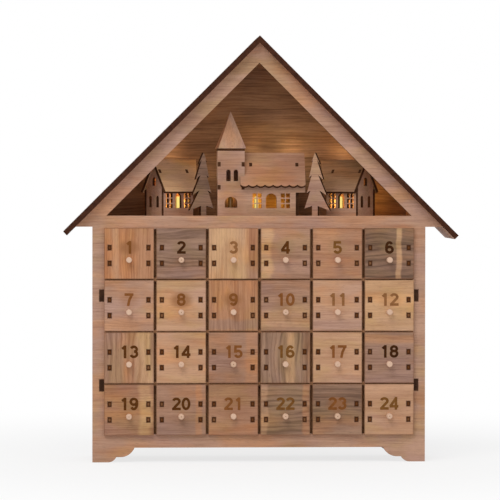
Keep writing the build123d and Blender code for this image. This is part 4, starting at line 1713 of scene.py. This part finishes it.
@dataclass
class Village:
    """The floor, church, cottages and firs behind the gable, in millimetres and degrees."""

    ply: float = 3.0
    left_cottage_turn: float = 36.5
    right_cottage_turn: float = 42.5
    tower_x: float = -26.3
    tower_half: float = 12.0
    tower_shade: float = 0.5
    nave_patches: float = 0.3
    fir_turn: float = 30.0
    wall_seed: float = 60.0
    slope_seed: float = 63.0
    fir_seed: float = 66.0

    def build(self) -> None:
        """Dress the village."""
        # Painted shade: the village's edges are darkened beyond their scorch for the gaps in and between the
        # pieces
        self.edge = CutEdge("village_edge_painted_shade", EdgeTone.VILLAGE).material()
        self.fir_edge = CutEdge("fir_edge", EdgeTone.FIR).material()
        floor = Veneer("village_floor_veneer", WoodTone.PALE_TAN, FLAT_LEVEL, seed=51.0)
        self.dress_plies("village_floor", floor)
        self.dress_church()
        self.dress_nave()
        for side, name in ((1.0, "left"), (-1.0, "right")):
            self.dress_cottage(side, name)
            self.dress_fir(side, name)

    def dress_plies(self, node: str, veneer: Veneer) -> None:
        """Dress the sheets of a node with a veneer and the village's scorched edges, darkened with painted
        shade.
        """
        dress_sheet(node, self.ply, veneer.material(), self.edge)

    def dress_church(self) -> None:
        """Dress the church, whose tower is darker than its nave."""
        tower = upright(self.tower_x, self.tower_half, WoodTone.RED_BROWN, self.tower_shade)
        veneers = {
            "church_front": Veneer("church_front_veneer", WoodTone.PINK_TAN, seed=52.0, bands=(tower,)),
            "church_tower_walls": Veneer("tower_veneer", WoodTone.PINK_TAN, SIDE_UPRIGHT, seed=53.0),
            "church_nave_roof": Veneer("nave_roof_veneer", WoodTone.RED_BROWN, FLAT_LEVEL, seed=55.0),
            "spire_plate": Veneer("spire_plate_veneer", WoodTone.RED_BROWN, FLAT_LEVEL, seed=56.0),
            "church_spire": Veneer("spire_veneer", WoodTone.PINK_TAN, UPRIGHT, seed=57.0),
        }
        for node, veneer in veneers.items():
            self.dress_plies(node, veneer)

    def dress_nave(self) -> None:
        """Dress the nave's walls; the back's inner face, which the lamp lights, gets an amber tone as painted
        lamplight.
        """
        wall = Veneer("nave_veneer", WoodTone.PINK_TAN, SIDE_DEEP, seed=54.0).material()
        # Painted lamplight: the amber tone on the inner face of the back
        inside = Veneer("nave_painted_lamplight_veneer", WoodTone.AMBER, seed=58.0, patches=self.nave_patches).material()

        def choose(patch: Patch) -> Material:
            """Tell the edges, the back's inner face with its painted lamplight, and the walls apart."""
            if is_edge(patch, self.ply):
                return self.edge
            return inside if patch.normal.y < -FLATNESS else wall

        dress("church_nave_walls", choose)

    def turned_grain(self, turn: float, side: float) -> Grain:
        """Return a level grain along a piece that stands turned on the floor.

        Args:
            turn: The turn, in degrees.
            side: 1 for a left piece, -1 for a right one.

        Returns:
            The grain.
        """
        angle = math.radians(turn)
        return Grain((math.cos(angle), side * math.sin(angle), 0.0), Z_AXIS)

    def dress_cottage(self, side: float, name: str) -> None:
        """Dress one cottage.

        Args:
            side: 1 for the left one, -1 for the right one.
            name: The side's name.
        """
        is_left = side > 0.0
        grain = self.turned_grain(self.left_cottage_turn if is_left else self.right_cottage_turn, side)
        tone = WoodTone.YELLOW_TAN if is_left else WoodTone.DULL_BROWN
        walls = Veneer(f"{name}_cottage_veneer", WoodTone.PINK_TAN, grain, seed=self.wall_seed + side)
        slopes = Veneer(f"{name}_cottage_roof_veneer", tone, grain, seed=self.slope_seed + side)
        self.dress_plies(f"{name}_cottage_walls", walls)
        self.dress_plies(f"{name}_cottage_roof", slopes)

    def dress_fir(self, side: float, name: str) -> None:
        """Dress one fir tree.

        Args:
            side: 1 for the left one, -1 for the right one.
            name: The side's name.
        """
        grain = self.turned_grain(self.fir_turn, side)
        tone = WoodTone.DARK_BROWN if side > 0.0 else WoodTone.PINK_TAN
        face = Veneer(f"{name}_fir_veneer", tone, grain, Figure.LINED, seed=self.fir_seed + side)
        dress_sheet(f"{name}_fir", self.ply, face.material(), self.fir_edge)


class LampLight(Enum):
    """The colour of a light in the village."""

    WARM = (1.0, 0.62, 0.15)
    PALE = (1.0, 0.84, 0.56)


WALL_GLOW_RADIUS = 12.0


@dataclass(frozen=True)
class Glow:
    """One warm light of the village: its place over the floor's middle in millimetres, power and size."""

    name: str
    x: float
    y: float
    rise: float
    power: float
    radius: float = 3.0
    colour: LampLight = LampLight.WARM


def wall_glow(name: str, x: float, y: float, rise: float, power: float) -> Glow:
    """Return a broad pale light that washes the wall behind the village."""
    return Glow(name, x, y, rise, power, WALL_GLOW_RADIUS, LampLight.PALE)


@dataclass
class Lighting:
    """The lamps, their lead and the battery case, and the light that the lamps give, in millimetres."""

    lamp_axes: tuple[float, ...] = (-77.05, -26.3, -1.2, 80.66)
    lamp_base_rise: float = 4.0
    lamp_head_drop: float = 8.0
    dim_lamp: int = 1
    dim_lamp_reach: float = 5.0
    dim_glow: float = 0.09
    dim_core: Colour = (1.0, 0.42, 0.1)
    recess_reach: float = 1.4
    recess_width: float = 0.7
    smooth_relief: float = 0.01
    glows: tuple[Glow, ...] = (
        Glow("left_cottage_glow", -77.0, 5.5, 13.0, 0.012),
        Glow("tower_glow", -26.3, 4.5, 16.0, 0.0008),
        Glow("nave_glow", -1.2, 4.5, 14.0, 0.0048),
        Glow("nave_end_glow", 22.0, 4.5, 11.0, 0.0017),
        Glow("right_cottage_glow", 80.7, 5.5, 13.0, 0.014),
        wall_glow("left_back_glow", -84.0, 20.0, 58.0, 0.014),
        wall_glow("tower_back_glow", -44.0, 18.0, 46.0, 0.006),
        wall_glow("nave_left_back_glow", -4.0, 22.0, 66.0, 0.01),
        wall_glow("nave_right_back_glow", 34.0, 22.0, 66.0, 0.013),
        wall_glow("right_back_glow", 86.0, 22.0, 58.0, 0.016),
        Glow("right_corner_glow", 118.0, 20.0, 18.0, 0.006, 6.0),
    )

    def build(self) -> None:
        """Dress the lamps and the battery case and light the village."""
        self.dress_lamps()
        self.dress_battery()
        self.add_recesses()
        self.light_village()

    def dress_lamps(self) -> None:
        """Dress the lamps, of which the tower's is dim."""
        low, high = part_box("lamps")
        base = low.z * PER_METRE + self.lamp_base_rise
        head = high.z * PER_METRE - self.lamp_head_drop
        bright = LampResin("lamp_resin", base, head, self.lamp_axes).material()
        dim = LampResin(
            "dim_lamp_resin", base, head, self.lamp_axes, glow=self.dim_glow, core=self.dim_core
        ).material()

        def choose(patch: Patch) -> Material:
            """Tell the tower's dim lamp from the others."""
            middle = (patch.low.x + patch.high.x) * PER_METRE / 2
            return dim if abs(middle - self.lamp_axes[self.dim_lamp]) < self.dim_lamp_reach else bright

        dress("lamps", choose)

    def dress_battery(self) -> None:
        """Dress the lamps' lead, the battery case and what it holds."""
        low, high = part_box("battery_cells")
        middle = (low.x + high.x) * PER_METRE / 2
        half_length = (high.x - low.x) * PER_METRE / 2
        flat = self.smooth_relief
        finishes = {
            "lamp_lead": Moulding("lead_plastic", Shade.IVORY, roughness=0.4, texture=1.0, relief=flat),
            "battery_case": Moulding("case_plastic", Shade.CHARCOAL, roughness=0.55),
            "battery_cover": Moulding("cover_plastic", Shade.SOFT_BLACK, roughness=0.5),
            "switch_slider": Moulding("switch_plastic", Shade.JET, roughness=0.28, texture=1.2, relief=flat),
            "battery_cells": Sleeve("cell_sleeve", middle, half_length),
            "battery_contacts": Plating("contact_plating", Shade.NICKEL, roughness=0.3, scratch_axis=Z_AXIS),
            "case_screws": Plating("screw_plating", Shade.ZINC, roughness=0.32, scratch_axis=X_AXIS),
        }
        for node, finish in finishes.items():
            dress_whole(node, finish)

    def add_recesses(self) -> None:
        """Paint the shade of the cross recess in each screw's head as two thin, near-black crossed bars."""
        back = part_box("case_screws")[1].y
        reach = self.recess_reach
        bars = [Stroke([(-reach, 0.0), (reach, 0.0)]), Stroke([(0.0, -reach), (0.0, reach)])]
        pattern = Figures(weight=self.recess_width).join(bars)
        mesh = bpy.data.meshes.new("painted_screw_recess_shade")
        crosses = bmesh.new()
        for patch in find_patches(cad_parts["case_screws"].data):
            if patch.normal.y < FLATNESS or patch.high.y < back - MM:
                continue
            middle = (patch.low + patch.high) / 2
            cross = pattern.copy()
            cross.transform(Matrix.Translation((middle.x, back, middle.z)))
            crosses.from_mesh(cross)
            bpy.data.meshes.remove(cross)
        bmesh.ops.recalc_face_normals(crosses, faces=crosses.faces)
        crosses.to_mesh(mesh)
        crosses.free()
        # Painted shade: the bars stand in for the shaded hollow of each recess
        dull_stain_and_recess_shade = Plating("painted_recess_shade", Shade.DULL_STEEL, roughness=0.6, scratch_axis=X_AXIS)
        add_piece("painted_screw_recess_shade", mesh, dull_stain_and_recess_shade.material(), "calendar")

    def light_village(self) -> None:
        """Put a small warm light in each building and behind the houses."""
        floor_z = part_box("village_floor")[1].z
        for glow in self.glows:
            light = bpy.data.lights.new(glow.name, "POINT")
            light.color = glow.colour.value
            light.energy = glow.power
            light.shadow_soft_size = glow.radius * MM
            holder = bpy.data.objects.new(glow.name, light)
            holder.location = (glow.x * MM, glow.y * MM, floor_z + glow.rise * MM)
            bpy.context.scene.collection.objects.link(holder)
            log.info("%s: %.4f W", glow.name, glow.power)


@dataclass(frozen=True)
class Panel:
    """One soft box of the studio: where it stands, how large it is and how bright."""

    name: str
    place: Axis
    size: float
    power: float


@dataclass
class Studio:
    """The floor, the soft light and the camera, in metres and radians."""

    camera_place: Axis = (-0.16, -3.00603, 0.27)
    heading: float = 0.05077
    pitch: float = -0.02226
    roll: float = 0.0012
    lens: float = 223.41
    sensor: float = 36.0
    sight: float = 20.0
    ambient: float = 0.5
    paper: Colour = (0.86, 0.86, 0.86)
    paper_roughness: float = 0.9
    floor_size: float = 8.0
    floor_fade: Span = (0.15, 0.7)
    floor_blend: float = 0.75
    target: Axis = (0.0, 0.0, 0.2)
    panels: tuple[Panel, ...] = (
        Panel("key_panel", (-0.7, -1.4, 1.9), 1.4, 24.0),
        Panel("fill_panel", (1.6, -1.6, 0.9), 1.4, 5.0),
    )

    def build(self) -> None:
        """Set the stage, the light and the camera."""
        self.add_floor()
        self.set_world()
        for panel in self.panels:
            self.add_panel(panel)
        self.add_camera()
        bpy.context.scene.view_settings.view_transform = "Standard"

    def seen_directly(self, tree: ShaderTree) -> Socket:
        """Return 1 for what the camera sees, also through gloss or glass."""
        path = tree.add("ShaderNodeLightPath", output="Is Camera Ray")
        mirrored = [path.sibling(ray) for ray in ("Is Glossy Ray", "Is Transmission Ray")]
        return tree.extreme("MAXIMUM", [path, *mirrored])

    def add_floor(self) -> None:
        """Add a pale floor that keeps the object's shadow and fades to white."""
        mesh = bpy.data.meshes.new("floor")
        half = self.floor_size / 2
        corners = [(-half, -half, 0.0), (half, -half, 0.0), (half, half, 0.0), (-half, half, 0.0)]
        mesh.from_pydata(corners, [], [range(len(corners))])
        floor = bpy.data.objects.new("floor", mesh)
        bpy.context.scene.collection.objects.link(floor)
        tree = material_tree("floor_paper")
        place = tree.add("ShaderNodeTexCoord", output="Object")
        far = tree.step(tree.vector_math("LENGTH", place, output="Value"), *self.floor_fade)
        share = (self.floor_blend + far * (1.0 - self.floor_blend)) * self.seen_directly(tree)
        finish = {"Base Color": self.paper, "Roughness": self.paper_roughness}
        paper = tree.add("ShaderNodeBsdfPrincipled", None, finish)
        white = tree.add("ShaderNodeEmission", None, {"Color": WHITE, "Strength": 1.0})
        tree.add("ShaderNodeOutputMaterial", None, {"Surface": tree.blend_shaders(share, paper, white)})
        mesh.materials.append(tree.owner)

    def set_world(self) -> None:
        """Light the scene evenly from all round, white where it is seen."""
        world = bpy.data.worlds.new("studio")
        bpy.context.scene.world = world
        tree = ShaderTree(world)
        soft = tree.add("ShaderNodeBackground", None, {"Color": WHITE, "Strength": self.ambient})
        white = tree.add("ShaderNodeBackground", None, {"Color": WHITE, "Strength": 1.0})
        blend = tree.blend_shaders(self.seen_directly(tree), soft, white)
        tree.add("ShaderNodeOutputWorld", None, {"Surface": blend})

    def add_panel(self, panel: Panel) -> None:
        """Stand one soft box, turned towards the object."""
        light = bpy.data.lights.new(panel.name, "AREA")
        light.size = panel.size
        light.energy = panel.power
        holder = bpy.data.objects.new(panel.name, light)
        holder.location = panel.place
        aim = Vector(self.target) - Vector(panel.place)
        holder.rotation_euler = aim.to_track_quat("-Z", "Y").to_euler()
        bpy.context.scene.collection.objects.link(holder)
        log.info("%s: %.1f W", panel.name, panel.power)

    def add_camera(self) -> None:
        """Put the camera at the photograph's viewpoint."""
        level_reach = math.cos(self.pitch)
        forward = Vector(
            (math.sin(self.heading) * level_reach, math.cos(self.heading) * level_reach, math.sin(self.pitch))
        )
        right = forward.cross(Vector(Z_AXIS)).normalized()
        up = right.cross(forward)
        leaning_right = math.cos(self.roll) * right + math.sin(self.roll) * up
        leaning_up = math.cos(self.roll) * up - math.sin(self.roll) * right
        data = bpy.data.cameras.new("camera")
        data.lens = self.lens
        data.sensor_width = self.sensor
        data.sensor_fit = "HORIZONTAL"
        data.clip_end = self.sight
        camera = bpy.data.objects.new("camera", data)
        matrix = Matrix((leaning_right, leaning_up, -forward)).transposed().to_4x4()
        matrix.translation = Vector(self.camera_place)
        camera.matrix_world = matrix
        bpy.context.scene.collection.objects.link(camera)
        bpy.context.scene.camera = camera


def main() -> None:
    """Build the sub-assemblies in order."""
    logging.basicConfig(level=logging.INFO, format="%(name)s %(message)s")
    for assembly in (Case(), Roof(), DrawerBank(), Village(), Lighting(), Studio()):
        assembly.build()
        log.info("%s done", type(assembly).__name__)


if __name__ == "__main__":
    main()
